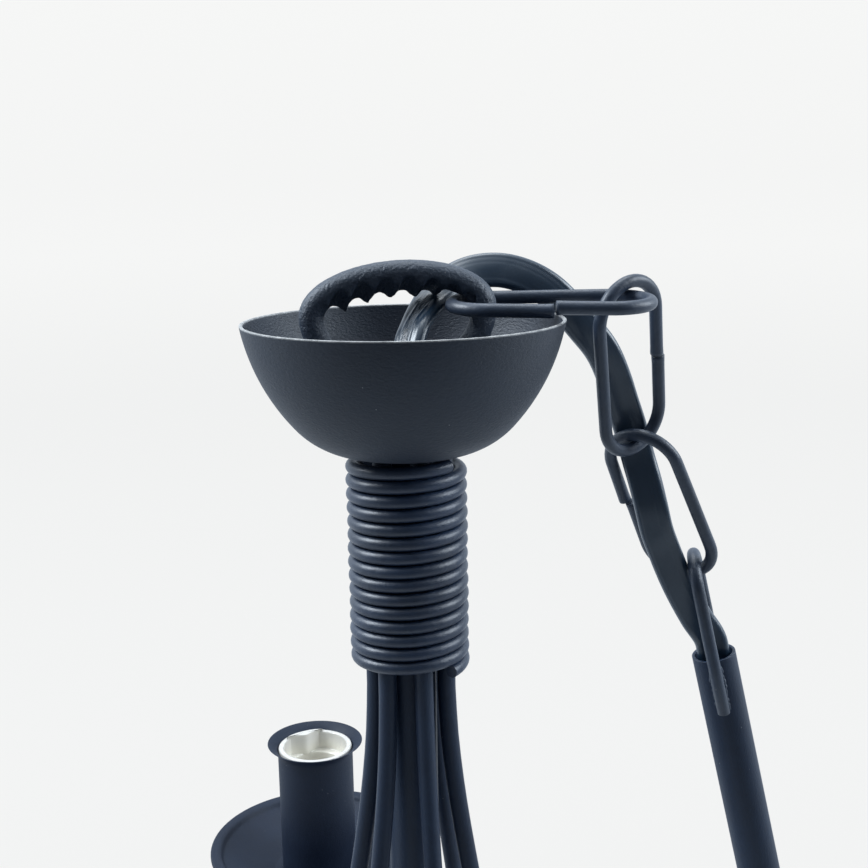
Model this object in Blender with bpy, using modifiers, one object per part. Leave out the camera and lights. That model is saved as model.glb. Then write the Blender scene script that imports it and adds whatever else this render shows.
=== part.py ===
"""A six-arm candle chandelier, standing on its arms with its chain laid over the top bowl.

The arms are bound to a centre stem by a wound wire and carry drip pans, candle sleeves and
lamp holders. A toothed cast loop stands in the bowl. Chain links, a down rod and a ceiling
canopy hang from it, with a flat three-core cord beside them.

Lengths are in metres and +Z is up. The origin is on the table, under the stem's axis.
"""

import math

import bmesh
import bpy
from mathutils import Matrix, Vector

MM = 0.001

# Clearances
SEAT_GAP = 0.3 * MM  # between pieces that rest on or hook into each other
FIT_GAP = 0.4 * MM  # between a piece and the hole or ring round it
MERGE = 0.01 * MM  # the Screw modifier's merging distance

# Top bowl
BOWL_R = 45.3 * MM
BOWL_DEPTH = 36.8 * MM
BOWL_WALL = 1.0 * MM
BOWL_SIDE_R = 59.0 * MM  # radius of the arc down its side
BOWL_FOOT_R = 25.0 * MM  # radius of the arc round its foot
BOWL_RIM_LEAN = math.radians(10.6)

# Centre stem, the six arms round it and the wire that binds them
STEM_R = 7.5 * MM
STEM_WALL = 1.5 * MM
STEM_LENGTH = 297.0 * MM
STEM_TOP_DROP = 33.0 * MM  # from the bowl's rim down to the stem's top
ARM_COUNT = 6
ARM_R = 2.7 * MM
ARM_TOP_DROP = 31.0 * MM
ARM_PLATE_R = 8.0 * MM  # round plate that the drip pan sits on
ARM_PLATE_H = 2.4 * MM
NIPPLE_R = 4.8 * MM  # threaded end that passes the pan and the sleeve
NIPPLE_INTO_HOLDER = 4.0 * MM
WIRE_R = 1.8 * MM
WRAP_TURNS = 15
WRAP_PITCH = 4.05 * MM
WRAP_START = math.radians(-40)
STRAIGHT_BELOW_WRAP = 9.0 * MM  # the arms stay upright this far under the wire

# Where the arms go
CANDLE_REACH = 351.0 * MM  # from the stem's axis to a candle's
LOWEST_REACH = 275.0 * MM  # to the bend that the arm stands on
PAN_SEAT_HEIGHT = 98.0 * MM  # of the drip pans' undersides over the table
FIRST_CANDLE = math.radians(100.9)  # turned from +X towards +Y
BUNDLE_TURN = math.radians(11.1)  # the arms start this far round from their candles
BUNDLE_TURN_SHARE = 0.3  # share of the way out over which they turn back
ARM_DOWN_SHARES = [
    (0.0, 0.0),
    (0.0025, 0.040),
    (0.0075, 0.078),
    (0.0235, 0.158),
    (0.051, 0.262),
    (0.092, 0.372),
    (0.164, 0.502),
    (0.278, 0.645),
    (0.444, 0.790),
    (0.648, 0.915),
    (0.860, 0.988),
    (1.0, 1.0),
]
ARM_UP_SHARES = [(0.46, 0.10), (0.82, 0.36), (0.965, 0.66), (1.0, 0.90)]

# Drip pan
PAN_R = 64.0 * MM
PAN_DEPTH = 14.0 * MM
PAN_WALL = 1.2 * MM
PAN_FLAT_R = 27.0 * MM
PAN_LIP = 2.2 * MM  # the rim turns out and down this far

# Candle sleeve
SLEEVE_R = 22.3 * MM
SLEEVE_WALL = 0.9 * MM
SLEEVE_HEIGHT = 80.0 * MM
FLARE_R = 27.6 * MM
FLARE_HEIGHT = 8.0 * MM

# Lamp holder
HOLDER_R = 20.6 * MM
HOLDER_LIP_R = 21.8 * MM
HOLDER_LIP_H = 4.0 * MM
HOLDER_HEIGHT = 44.0 * MM
HOLDER_WALL = 3.1 * MM  # of the wide recess at its top
HOLDER_RECESS_DEPTH = 8.0 * MM
HOLDER_BORE_R = 14.2 * MM
HOLDER_FLOOR = 8.0 * MM
HOLDER_BELOW_FLARE = 1.8 * MM  # its top sits this far under the sleeve's top
SHELL_WALL = 0.5 * MM
SHELL_HEIGHT = 24.0 * MM
TONGUE_WIDTH = 5.0 * MM
TONGUE_THICK = 0.7 * MM
TONGUE_RISE = 6.0 * MM
TONGUE_REACH = 9.0 * MM

# Cast hanging loop
LOOP_HALF_WIDTH = 24.1 * MM  # these three are to the middle of its section
LOOP_RISE = 10.7 * MM
LOOP_DROP = 18.5 * MM
LOOP_OVER_RIM = 3.1 * MM
LOOP_SIDE_SHIFT = 1.5 * MM
LOOP_TILT = math.radians(3.9)
LOOP_THICK = 7.1 * MM
LOOP_DEPTH = 8.4 * MM
LOOP_NECK_R = 5.4 * MM
LOOP_FOOT_R = 7.0 * MM
LOOP_FOOT_H = 4.0 * MM
LOOP_STUB_LENGTH = 12.0 * MM
NOTCH_COUNT = 5
NOTCH_PITCH = 6.4 * MM
NOTCH_R = 2.5 * MM
NOTCH_SHIFT = 2.4 * MM  # the row of notches is this far right of the ring's middle
TOOTH_HEIGHT = 2.5 * MM

# Chain
LINK_LENGTH = 58.5 * MM
LINK_WIDTH = 26.0 * MM
LINK_WIRE_R = 1.9 * MM
LINK_CUT = 0.6 * MM  # the open joint in one long side
LINK_CUT_STEP = 0.7 * MM  # its two ends don't quite line up
LINK_1_START_REACH = 13.6 * MM  # the first link's inner end, from the stem's axis
LINK_1_OVER_RIM = 5.2 * MM
LINK_1_LOOSE = 1.3 * MM  # between its rear bar and the loop
LINK_1_ALONG = Vector((1.0, 0.0, 0.0))
LINK_1_ACROSS = Vector((0.0, 1.0, 0.06))
LINK_2_ALONG = Vector((0.110, 0.330, -0.938))
LINK_2_ACROSS = Vector((-0.798, -0.535, -0.276))
LINK_3_ALONG = Vector((0.390, 0.265, -0.882))
LINK_3_ACROSS = Vector((0.780, -0.610, 0.147))
LINK_2_CATCH = math.radians(33)  # where it hooks on the end before it, 90 being the middle
LINK_3_CATCH = math.radians(95)
BAIL_CATCH = math.radians(77)  # the bail rides here on the last link
LINK_1_PIVOT_REACH = 22.6 * MM  # the loop, which it turns on, from the stem's axis

# Down rod
ROD_R = 7.0 * MM
ROD_WALL = 1.0 * MM
ROD_LENGTH = 300.0 * MM
ROD_ALONG = Vector((0.223, 0.026, -0.975))
BAIL_WIRE_R = 2.0 * MM
BAIL_REACH = 34.0 * MM  # from the rod's end to the middle of the bail's bend
BAIL_FORWARD = 1.8 * MM  # the upper bail is this far in front of where it rides
BAIL_OVERLAP = 17.0 * MM  # its legs lie along the rod's wall this far

# Ceiling canopy
CANOPY_R = 60.0 * MM
CANOPY_HEIGHT = 24.0 * MM
CANOPY_WALL = 1.2 * MM
CANOPY_CORNER_R = 9.0 * MM
CANOPY_LIP = 4.0 * MM
EYE_R = 11.0 * MM  # to the middle of the ring's wire
EYE_WIRE_R = 2.0 * MM
EYE_COLLAR_R = 7.0 * MM
EYE_COLLAR_H = 3.0 * MM
EYE_STUB_R = 4.7 * MM
NUT_R = 9.0 * MM  # to its corners
NUT_HEIGHT = 4.5 * MM
STRAP_LENGTH = 96.0 * MM
STRAP_WIDTH = 20.0 * MM
STRAP_THICK = 2.0 * MM
STRAP_HEIGHT = 12.0 * MM  # of its lower face over the canopy's rim
STRAP_SLOT_LENGTH = 14.0 * MM
STRAP_SLOT_WIDTH = 5.0 * MM
STRAP_SLOT_REACH = 22.0 * MM
SCREW_REACH = 38.0 * MM
SCREW_R = 2.0 * MM
SCREW_CAP_R = 4.5 * MM
SCREW_CAP_H = 7.0 * MM
SCREW_PAST_STRAP = 4.0 * MM
CORD_HOLE_R = 6.5 * MM
CORD_HOLE_REACH = 20.0 * MM  # from the canopy's middle, towards the stem

# Finial under the stem
FINIAL_BALL_R = 13.0 * MM
FINIAL_NECK_R = 5.0 * MM
FINIAL_NECK_H = 5.0 * MM
FINIAL_COLLAR_R = 9.5 * MM
FINIAL_COLLAR_H = 4.0 * MM
FINIAL_TIP_R = 3.6 * MM
FINIAL_TIP_H = 7.0 * MM
FINIAL_STUB_LENGTH = 10.0 * MM

# Terminal block in the bowl
BLOCK_WIDTH = 17.0 * MM
BLOCK_DEPTH = 10.0 * MM
BLOCK_HEIGHT = 8.0 * MM
BLOCK_REACH = 16.0 * MM  # from the stem's axis to its middle, towards the front
BLOCK_EDGE = 0.8 * MM

# Cord: a flat one of three cores
CORD_WIDTH = 10.4 * MM
CORD_THICK = 3.9 * MM
CORD_FACE = Vector((-0.25, -0.88, 0.40))  # the way that its broad side looks
CORD_ROUTE = [
    (0.0, -13.8, -22.2),
    (0.1, -13.5, -17.5),
    (1.0, -11.0, -8.5),
    (2.4, -7.6, -2.6),
    (4.8, -1.5, 1.6),
    (8.0, 4.6, 5.6),
    (12.6, 9.4, 9.6),
    (19.2, 13.5, 12.4),
    (28.0, 16.0, 12.9),
    (35.5, 17.8, 10.8),
    (41.5, 18.8, 7.4),
    (46.8, 19.6, 2.6),
    (52.6, 20.8, -4.2),
    (58.6, 23.2, -11.8),
    (63.1, 26.0, -21.4),
    (65.4, 27.6, -28.0),
    (68.4, 29.4, -36.4),
    (71.2, 29.6, -46.5),
    (73.4, 28.0, -54.5),
    (75.2, 27.2, -62.0),
    (77.2, 28.0, -69.8),
    (79.7, 28.3, -76.8),
    (84.6, 29.6, -88.4),
    (91.0, 31.8, -100.2),
]
CORD_STEP = 6.5 * MM
CORD_STRETCH_STEPS = 10  # steps to a stretch, which bends across one joint
CORD_ROD_STEPS = 5
CORD_APPROACH = 4.0 * MM  # the cord is in line with the rod from this far above it
CORD_ENTRY = 9.0 * MM
CORD_SWING_OUT = 9.0 * MM  # under the rod it bulges this far towards the stem
CORD_END_HEIGHT = 12.0 * MM
CORD_SIDES = 10

# Facets
BOWL_SIDES = 32
CANOPY_SIDES = 28
PAN_SIDES = 18
SLEEVE_SIDES = 16
SHELL_SIDES = 16
ROD_SIDES = 20
SMALL_SIDES = 16
ARM_DOWN_COUNT = 11
ARM_UP_COUNT = 6
WRAP_POINT_COUNT = 18
LINK_BEND_COUNT = 7
EYE_POINT_COUNT = 16
BAIL_BEND_COUNT = 9
FINIAL_SIDES = 12

# Colours as (red, green, blue, alpha), roughness and metallic
BLACK_COAT = ((0.012, 0.013, 0.016, 1.0), 0.55, 0.0)
BLACK_WIRE = ((0.012, 0.013, 0.016, 1.0), 0.42, 0.0)
PORCELAIN = ((0.80, 0.77, 0.68, 1.0), 0.25, 0.0)
BRIGHT_STEEL = ((0.55, 0.54, 0.50, 1.0), 0.30, 1.0)
BLACK_CORD = ((0.014, 0.015, 0.018, 1.0), 0.35, 0.0)


# Scene and materials


def empty_scene():
    """Removes what the scene holds and gives the collections for the pieces and the cutters."""
    for old in list(bpy.data.objects):
        bpy.data.objects.remove(old, do_unlink=True)
    made = []
    for name in ("chandelier", "cutters"):
        collection = bpy.data.collections.new(name)
        bpy.context.scene.collection.children.link(collection)
        made.append(collection)
    return made


PIECES, CUTTERS = empty_scene()


def finish(item, look):
    """Gives a piece its own material."""
    colour, roughness, metallic = look
    material = bpy.data.materials.new(item.name)
    material.use_nodes = True
    shader = material.node_tree.nodes["Principled BSDF"]
    shader.inputs["Base Color"].default_value = colour
    shader.inputs["Roughness"].default_value = roughness
    shader.inputs["Metallic"].default_value = metallic
    item.data.materials.clear()
    item.data.materials.append(material)
    return item


def placed(name, data, where=None, collection=PIECES):
    """An object with this data, standing where a matrix says."""
    item = bpy.data.objects.new(name, data)
    collection.objects.link(item)
    if where is not None:
        item.matrix_world = where
    if collection is CUTTERS:
        item.hide_render = True
        item.display_type = "WIRE"
    return item


def at(x=0.0, y=0.0, z=0.0):
    return Matrix.Translation((x, y, z))


def facing(origin, down):
    """A place whose -Z runs along a direction, and whose Y stays as level as it can."""
    up = -down.normalized()
    across = Vector((0.0, 1.0, 0.0)).cross(up).normalized()
    level = up.cross(across)
    turn = Matrix((across, level, up)).transposed().to_4x4()
    return Matrix.Translation(origin) @ turn


# Shape helpers


def arc(cx, cz, radius, start, end, steps):
    """Points (x, z) round a centre, from one angle to another."""
    turn = (end - start) / steps
    return [
        (cx + radius * math.cos(start + turn * i), cz + radius * math.sin(start + turn * i))
        for i in range(steps + 1)
    ]


def outline_mesh(name, profile, closed=True):
    """A profile in the XZ plane, as edges."""
    count = len(profile)
    edges = [(i, (i + 1) % count) for i in range(count if closed else count - 1)]
    mesh = bpy.data.meshes.new(name)
    mesh.from_pydata([(x, 0.0, z) for x, z in profile], edges, [])
    return mesh


def turned(name, mesh, sides, look, where=None, collection=PIECES):
    """A profile turned about Z. Its outer side is listed from the top down."""
    item = placed(name, mesh, where, collection)
    screw = item.modifiers.new("turn", "SCREW")
    screw.steps = sides
    screw.render_steps = sides
    screw.use_merge_vertices = True
    screw.merge_threshold = MERGE
    if look is not None:
        finish(item, look)
    return item


def wire(name, points, radius, look, sides_level=1, widths=None, closed=False):
    """A round wire or tube along points."""
    curve = bpy.data.curves.new(name, "CURVE")
    curve.dimensions = "3D"
    curve.bevel_depth = radius
    curve.bevel_resolution = sides_level
    curve.use_fill_caps = not closed
    spline = curve.splines.new("POLY")
    spline.points.add(len(points) - 1)
    spline.use_cyclic_u = closed
    spline.use_smooth = True
    for i, point in enumerate(points):
        spline.points[i].co = (*point, 1.0)
        spline.points[i].radius = widths[i] if widths else 1.0
    item = placed(name, curve)
    return finish(item, look)


def welded(item):
    """A piece's mesh with its doubled points joined, which a Boolean can cut. The piece goes."""
    ready = item.evaluated_get(bpy.context.evaluated_depsgraph_get())
    mesh = bpy.data.meshes.new_from_object(ready)
    work = bmesh.new()
    work.from_mesh(mesh)
    bmesh.ops.remove_doubles(work, verts=work.verts, dist=MERGE)
    bmesh.ops.recalc_face_normals(work, faces=work.faces)
    work.to_mesh(mesh)
    work.free()
    bpy.data.objects.remove(item, do_unlink=True)
    return mesh


def filled(name, outline, half_thick):
    """A flat outline in the XY plane, thickened to both sides, as a mesh."""
    curve = bpy.data.curves.new(name, "CURVE")
    curve.dimensions = "2D"
    curve.fill_mode = "BOTH"
    curve.extrude = half_thick
    spline = curve.splines.new("POLY")
    spline.points.add(len(outline) - 1)
    spline.use_cyclic_u = True
    for i, (x, y) in enumerate(outline):
        spline.points[i].co = (x, y, 0.0, 1.0)
    return welded(placed(name, curve))


def swept(name, rings, look, closed=False):
    """A skin over rings of points, for a section that changes along its way."""
    work = bmesh.new()
    rows = [[work.verts.new(point) for point in ring] for ring in rings]
    pairs = list(zip(rows, rows[1:], strict=False))
    if closed:
        pairs.append((rows[-1], rows[0]))
    for one, two in pairs:
        for i in range(len(one)):
            j = (i + 1) % len(one)
            work.faces.new((one[i], one[j], two[j], two[i]))
    if not closed:
        work.faces.new(rows[0])
        work.faces.new(rows[-1])
    bmesh.ops.recalc_face_normals(work, faces=work.faces)
    mesh = bpy.data.meshes.new(name)
    work.to_mesh(mesh)
    work.free()
    mesh.shade_smooth()
    return finish(placed(name, mesh), look)


def joined(item, other, operation):
    """A live Boolean of two meshes."""
    change = item.modifiers.new(operation.lower(), "BOOLEAN")
    change.operation = operation
    change.solver = "EXACT"
    change.object = other
    return item


def smooth_run(stations, count, first=0, last=None):
    """Points on a smooth curve through stations, each with the curve's direction there.

    They are evenly spread between two of the stations.
    """
    ends = [stations[0] * 2 - stations[1], *stations, stations[-1] * 2 - stations[-2]]
    fine = []
    parts = 12
    for a, b, c, d in zip(ends, ends[1:], ends[2:], ends[3:], strict=False):
        before, chord, after = b - a, c - b, d - c
        span = chord.length
        leave = (before * (span / before.length) + chord * (before.length / span)) * span
        leave /= before.length + span
        reach = (chord * (after.length / span) + after * (span / after.length)) * span
        reach /= after.length + span
        for i in range(parts):
            t = i / parts
            bend = (chord * 3 - leave * 2 - reach) * t * t + (leave + reach - chord * 2) * t**3
            fine.append(b + leave * t + bend)
    fine.append(stations[-1])
    final = len(fine) - 1
    ways = [(fine[min(i + 1, final)] - fine[max(i - 1, 0)]).normalized() for i in range(final + 1)]
    begin, stop = first * parts, final if last is None else last * parts
    along = [0.0]
    for one, two in zip(fine[begin:stop], fine[begin + 1 : stop + 1], strict=True):
        along.append(along[-1] + (two - one).length)
    run, k = [], 0
    for i in range(count):
        goal = along[-1] * i / (count - 1)
        while k < len(along) - 2 and along[k + 1] < goal:
            k += 1
        share = min(max((goal - along[k]) / (along[k + 1] - along[k]), 0.0), 1.0)
        here = begin + k
        way = ways[here].lerp(ways[here + 1], share).normalized()
        run.append((fine[here].lerp(fine[here + 1], share), way))
    return run


def length_of(line):
    return sum((two - one).length for one, two in zip(line, line[1:], strict=False))


# Chain: each link hooks on the end of the one before it


class Link:
    """An oblong wire link, given by the middle of its first end and two directions."""

    def __init__(self, start, along, across):
        self.along = along.normalized()
        self.across = (across - self.along * across.dot(self.along)).normalized()
        self.start = start
        self.bend = LINK_WIDTH / 2 - LINK_WIRE_R
        self.end = start + self.along * (LINK_LENGTH - LINK_WIRE_R * 2)

    def on_far_bend(self, angle):
        """A point of the far bend. 90 degrees is its middle and 0 the side across."""
        middle = self.end - self.along * self.bend
        reach = self.across * math.cos(angle) + self.along * math.sin(angle)
        return middle + reach * self.bend

    def path(self):
        """Round the link, from one end of the open joint to the other."""
        near = self.start + self.along * self.bend
        far = self.end - self.along * self.bend
        middle = (near + far) / 2 - self.across * self.bend
        half_cut = self.along * (LINK_CUT / 2)
        step = self.across * (LINK_CUT_STEP / 2)
        points = [middle + half_cut - step]
        for centre, first in ((far, -math.pi / 2), (near, math.pi / 2)):
            for i in range(LINK_BEND_COUNT):
                angle = first + math.pi * i / (LINK_BEND_COUNT - 1)
                reach = self.along * math.cos(angle) + self.across * math.sin(angle)
                points.append(centre + reach * self.bend)
        points.append(middle - half_cut + step)
        return points


def hooked(catch, along, gap):
    """Where a piece starts that hangs on a wire at this point."""
    return catch - along.normalized() * gap


LINK_GAP = LINK_WIRE_R * 2 + SEAT_GAP
LINK_1_BACK = LINK_WIDTH / 2 - LINK_WIRE_R * 2 - LINK_1_LOOSE - LOOP_DEPTH / 2
link_1 = Link(
    Vector((LINK_1_START_REACH, -LINK_1_BACK, LINK_1_OVER_RIM)), LINK_1_ALONG, LINK_1_ACROSS
)
link_2 = Link(
    hooked(link_1.on_far_bend(LINK_2_CATCH), LINK_2_ALONG, LINK_GAP), LINK_2_ALONG, LINK_2_ACROSS
)
link_3 = Link(
    hooked(link_2.on_far_bend(LINK_3_CATCH), LINK_3_ALONG, LINK_GAP), LINK_3_ALONG, LINK_3_ACROSS
)
BAIL_GAP = LINK_WIRE_R + BAIL_WIRE_R + SEAT_GAP
BAIL_HALF = ROD_R + SEAT_GAP + BAIL_WIRE_R  # half the way between its legs
rod_down = ROD_ALONG.normalized()
rod_level = Vector((0.0, 1.0, 0.0)) - rod_down * rod_down.y
rod_level.normalize()


def bail_path(place, up):
    """A bail astride the rod's end: up is 1 at its top and -1 at its foot."""
    bend = BAIL_REACH - BAIL_HALF
    points = [Vector((0.0, -BAIL_HALF, -BAIL_OVERLAP * up))]
    for i in range(BAIL_BEND_COUNT):
        angle = math.pi * (1 - i / (BAIL_BEND_COUNT - 1))
        rise = bend + BAIL_HALF * math.sin(angle)
        points.append(Vector((0.0, BAIL_HALF * math.cos(angle), rise * up)))
    points.append(Vector((0.0, BAIL_HALF, -BAIL_OVERLAP * up)))
    return [place @ point for point in points]


def least_gap(one, two):
    """The least distance between the middles of two wires."""
    nearest = math.inf
    for points, others in ((one, two), (two, one)):
        for start, end in zip(others, others[1:], strict=False):
            run = end - start
            for point in points:
                share = min(max((point - start).dot(run) / run.dot(run), 0.0), 1.0)
                nearest = min(nearest, (point - start - run * share).length)
    return nearest


def seated_bail():
    """Where the upper bail's bend comes to rest when it is let down into the last link."""
    over = link_3.on_far_bend(BAIL_CATCH) - rod_level * BAIL_FORWARD
    link = link_3.path()
    low, high = 0.0, BAIL_HALF
    for _ in range(24):
        middle = (low + high) / 2
        bend = over - rod_down * middle
        path = bail_path(facing(bend + rod_down * BAIL_REACH, rod_down), 1)
        if least_gap(path, link) < BAIL_GAP:
            low = middle
        else:
            high = middle
    return over - rod_down * high


upper_bail = seated_bail()
rod_top = upper_bail + rod_down * BAIL_REACH
rod_foot = rod_top + rod_down * ROD_LENGTH
lower_bail = rod_foot + rod_down * BAIL_REACH

# The canopy lies on the table and its ring holds the lower bail, which sets the rim's height
EYE_FOOT = CANOPY_HEIGHT + EYE_COLLAR_H + EYE_WIRE_R
BAIL_HEIGHT = EYE_FOOT + EYE_WIRE_R + BAIL_WIRE_R + SEAT_GAP
RIM_HEIGHT = BAIL_HEIGHT - lower_bail.z
CANOPY_AT = Vector((lower_bail.x, lower_bail.y, 0.0))
STEM_TOP = RIM_HEIGHT - STEM_TOP_DROP
STEM_FOOT = STEM_TOP - STEM_LENGTH
BUNDLE_R = STEM_R + FIT_GAP + ARM_R
WRAP_R = BUNDLE_R + ARM_R + FIT_GAP + WIRE_R
WRAP_TOP = RIM_HEIGHT - BOWL_DEPTH - SEAT_GAP - WIRE_R
WRAP_FOOT = WRAP_TOP - WRAP_TURNS * WRAP_PITCH


def over_rim(point):
    """A place given from the bowl's rim, in the part's own frame."""
    return Vector(point) + Vector((0.0, 0.0, RIM_HEIGHT))


def hung_on(name, pivot, *pieces):
    """An empty on a joint's axis, with the pieces that turn there as its children."""
    hook = placed(name, None)
    hook.location = pivot
    for piece in pieces:
        item = bpy.data.objects[piece]
        item.parent = hook
        item.matrix_parent_inverse = Matrix.Translation(-pivot)


# Bowl, stem, wire wrap and finial


def bowl_side(wall, steps):
    """One face of the bowl, from its rim down to its middle hole."""
    cx = BOWL_R - BOWL_SIDE_R * math.cos(BOWL_RIM_LEAN)
    cz = RIM_HEIGHT + BOWL_SIDE_R * math.sin(BOWL_RIM_LEAN)
    foot_z = RIM_HEIGHT - BOWL_DEPTH + BOWL_FOOT_R
    rise = cz - foot_z
    run = math.sqrt((BOWL_SIDE_R - BOWL_FOOT_R) ** 2 - rise**2)
    meet = -math.atan2(rise, run)
    hole = BUNDLE_R + ARM_R + SEAT_GAP
    foot_r = BOWL_FOOT_R - wall
    side_r = BOWL_SIDE_R - wall
    rim = -math.asin((cz - RIM_HEIGHT) / side_r)
    last = -math.acos((hole - cx - run) / foot_r)
    side = arc(cx, cz, side_r, rim, meet, steps)
    return side + arc(cx + run, foot_z, foot_r, meet, last, steps // 2)[1:]


def make_bowl():
    profile = bowl_side(0.0, 6) + bowl_side(BOWL_WALL, 4)[::-1]
    turned("top_bowl", outline_mesh("top_bowl", profile), BOWL_SIDES, BLACK_COAT)


def make_stem():
    bore = STEM_R - STEM_WALL
    profile = [(STEM_R, STEM_TOP), (STEM_R, STEM_FOOT), (bore, STEM_FOOT), (bore, STEM_TOP)]
    turned("centre_stem", outline_mesh("centre_stem", profile), SMALL_SIDES, BLACK_COAT)


def make_finial():
    top = STEM_FOOT - SEAT_GAP
    stub_r = STEM_R - STEM_WALL - SEAT_GAP
    collar = top - FINIAL_COLLAR_H
    neck = collar - FINIAL_NECK_H
    ball = neck - math.sqrt(FINIAL_BALL_R**2 - FINIAL_NECK_R**2)
    first = math.acos(FINIAL_NECK_R / FINIAL_BALL_R)
    last = -math.acos(FINIAL_TIP_R / FINIAL_BALL_R)
    tip = ball + FINIAL_BALL_R * math.sin(last) - FINIAL_TIP_H
    profile = [
        (0.0, top + FINIAL_STUB_LENGTH),
        (stub_r, top + FINIAL_STUB_LENGTH),
        (stub_r, top),
        (FINIAL_COLLAR_R, top),
        (FINIAL_COLLAR_R, collar),
        (FINIAL_NECK_R, collar),
        *arc(0.0, ball, FINIAL_BALL_R, first, last, 7),
        *arc(0.0, tip + FINIAL_TIP_R, FINIAL_TIP_R, 0.0, -math.pi / 2, 3),
    ]
    mesh = outline_mesh("stem_finial", profile, closed=False)
    turned("stem_finial", mesh, FINIAL_SIDES, BLACK_COAT)


def make_wrap():
    """The wound wire, right-handed, with both cut ends at the front right."""
    count = WRAP_TURNS * WRAP_POINT_COUNT
    points = []
    for i in range(count + 1):
        angle = WRAP_START + math.tau * i / WRAP_POINT_COUNT
        height = WRAP_FOOT + WRAP_PITCH * i / WRAP_POINT_COUNT
        points.append(Vector((WRAP_R * math.cos(angle), WRAP_R * math.sin(angle), height)))
    wire("wrap_wire", points, WIRE_R, BLACK_WIRE)
    away = range(WRAP_POINT_COUNT // 2, WRAP_POINT_COUNT * 3 // 2 + 1)
    nearest = min((points[0] - points[i]).length for i in away)
    print(f"wrap_wire: least gap to itself {(nearest - WIRE_R * 2) / MM:.2f} mm")


# Arms


def arm_path(azimuth):
    """The middle of an arm, from inside the bowl to the top of its threaded end."""
    start = WRAP_FOOT - WIRE_R - STRAIGHT_BELOW_WRAP + ARM_R
    seat = PAN_SEAT_HEIGHT - SEAT_GAP
    plate = seat - ARM_PLATE_H
    run, fall = LOWEST_REACH - BUNDLE_R, start - ARM_R
    rows = [(BUNDLE_R + run * out, start - fall * down) for out, down in ARM_DOWN_SHARES]
    run, climb = CANDLE_REACH - LOWEST_REACH, plate - ARM_R
    bend = len(rows) - 1
    rows += [(LOWEST_REACH + run * out, ARM_R + climb * up) for out, up in ARM_UP_SHARES]
    rows.append((CANDLE_REACH, plate))
    stations = [Vector((r, 0.0, z)) for r, z in rows]
    run = smooth_run(stations, ARM_DOWN_COUNT, 0, bend)
    run += smooth_run(stations, ARM_UP_COUNT, bend, len(rows) - 1)[1:]
    flat = [Vector((BUNDLE_R, 0.0, RIM_HEIGHT - ARM_TOP_DROP)), *(place for place, _ in run)]
    points = []
    for place in flat:
        out = (place.x - BUNDLE_R) / (CANDLE_REACH - BUNDLE_R)
        left = max(0.0, 1.0 - out / BUNDLE_TURN_SHARE)
        turn = azimuth + BUNDLE_TURN * left * left
        height = max(place.z, ARM_R)
        points.append(Vector((place.x * math.cos(turn), place.x * math.sin(turn), height)))
    return points


def make_arm(number, azimuth):
    """The arm's tube, the plate at its end and the threaded end over that, in one piece."""
    points = arm_path(azimuth)
    tip = points[-1]
    holder_foot = PAN_SEAT_HEIGHT + SLEEVE_TOP - HOLDER_BELOW_FLARE - HOLDER_HEIGHT
    top = holder_foot + NIPPLE_INTO_HOLDER
    widths = [1.0] * len(points)
    step = SEAT_GAP / 4
    for height, radius in (
        (tip.z + step, ARM_PLATE_R),
        (tip.z + ARM_PLATE_H - step, ARM_PLATE_R),
        (tip.z + ARM_PLATE_H, NIPPLE_R),
        (top, NIPPLE_R),
    ):
        points.append(Vector((tip.x, tip.y, height)))
        widths.append(radius / ARM_R)
    wire(f"arm_{number}", points, ARM_R, BLACK_COAT, 2, widths)


# Candle fittings: each shares its mesh with the other five


SLEEVE_SEAT = PAN_WALL + SEAT_GAP  # over the pan's underside
SLEEVE_TOP = SLEEVE_SEAT + SLEEVE_HEIGHT
FITTING_HOLE = NIPPLE_R + SEAT_GAP


def pan_profile():
    """A shallow dish whose rim turns over. Heights are over its underside."""
    slope = math.atan2(PAN_DEPTH, PAN_R - PAN_FLAT_R)
    lift = PAN_WALL / math.cos(slope)
    inner = PAN_R - PAN_LIP
    bowl = [
        (inner, PAN_DEPTH - PAN_WALL),
        ((inner + PAN_FLAT_R) / 2, (PAN_DEPTH - PAN_WALL) / 2 - PAN_WALL),
        (PAN_FLAT_R, 0.0),
    ]
    lined = [(r, z + lift) for r, z in reversed(bowl)]
    lined[0] = (PAN_FLAT_R, PAN_WALL)
    lip = [
        (inner + PAN_LIP / 2, PAN_DEPTH),
        (PAN_R, PAN_DEPTH - PAN_WALL / 2),
        (PAN_R, PAN_DEPTH - PAN_LIP),
        (PAN_R - PAN_WALL, PAN_DEPTH - PAN_LIP),
        (PAN_R - PAN_WALL, PAN_DEPTH - PAN_WALL),
    ]
    return [*lip, *bowl, (FITTING_HOLE, 0.0), (FITTING_HOLE, PAN_WALL), *lined]


def sleeve_profile():
    """A cup with a flared mouth. Heights are over its underside."""
    bore = SLEEVE_R - SLEEVE_WALL
    neck = SLEEVE_HEIGHT - FLARE_HEIGHT
    flare = [
        (FLARE_R, SLEEVE_HEIGHT),
        ((SLEEVE_R + FLARE_R) / 2, SLEEVE_HEIGHT - FLARE_HEIGHT / 3),
        (SLEEVE_R, neck),
    ]
    inside = [
        (bore, neck),
        ((bore + FLARE_R) / 2 - SLEEVE_WALL / 2, SLEEVE_HEIGHT - FLARE_HEIGHT / 3 + SLEEVE_WALL),
        (FLARE_R - SLEEVE_WALL, SLEEVE_HEIGHT),
    ]
    floor = [
        (SLEEVE_R, 0.0),
        (FITTING_HOLE, 0.0),
        (FITTING_HOLE, SLEEVE_WALL),
        (bore, SLEEVE_WALL),
    ]
    return [*flare, *floor, *inside]


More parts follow.
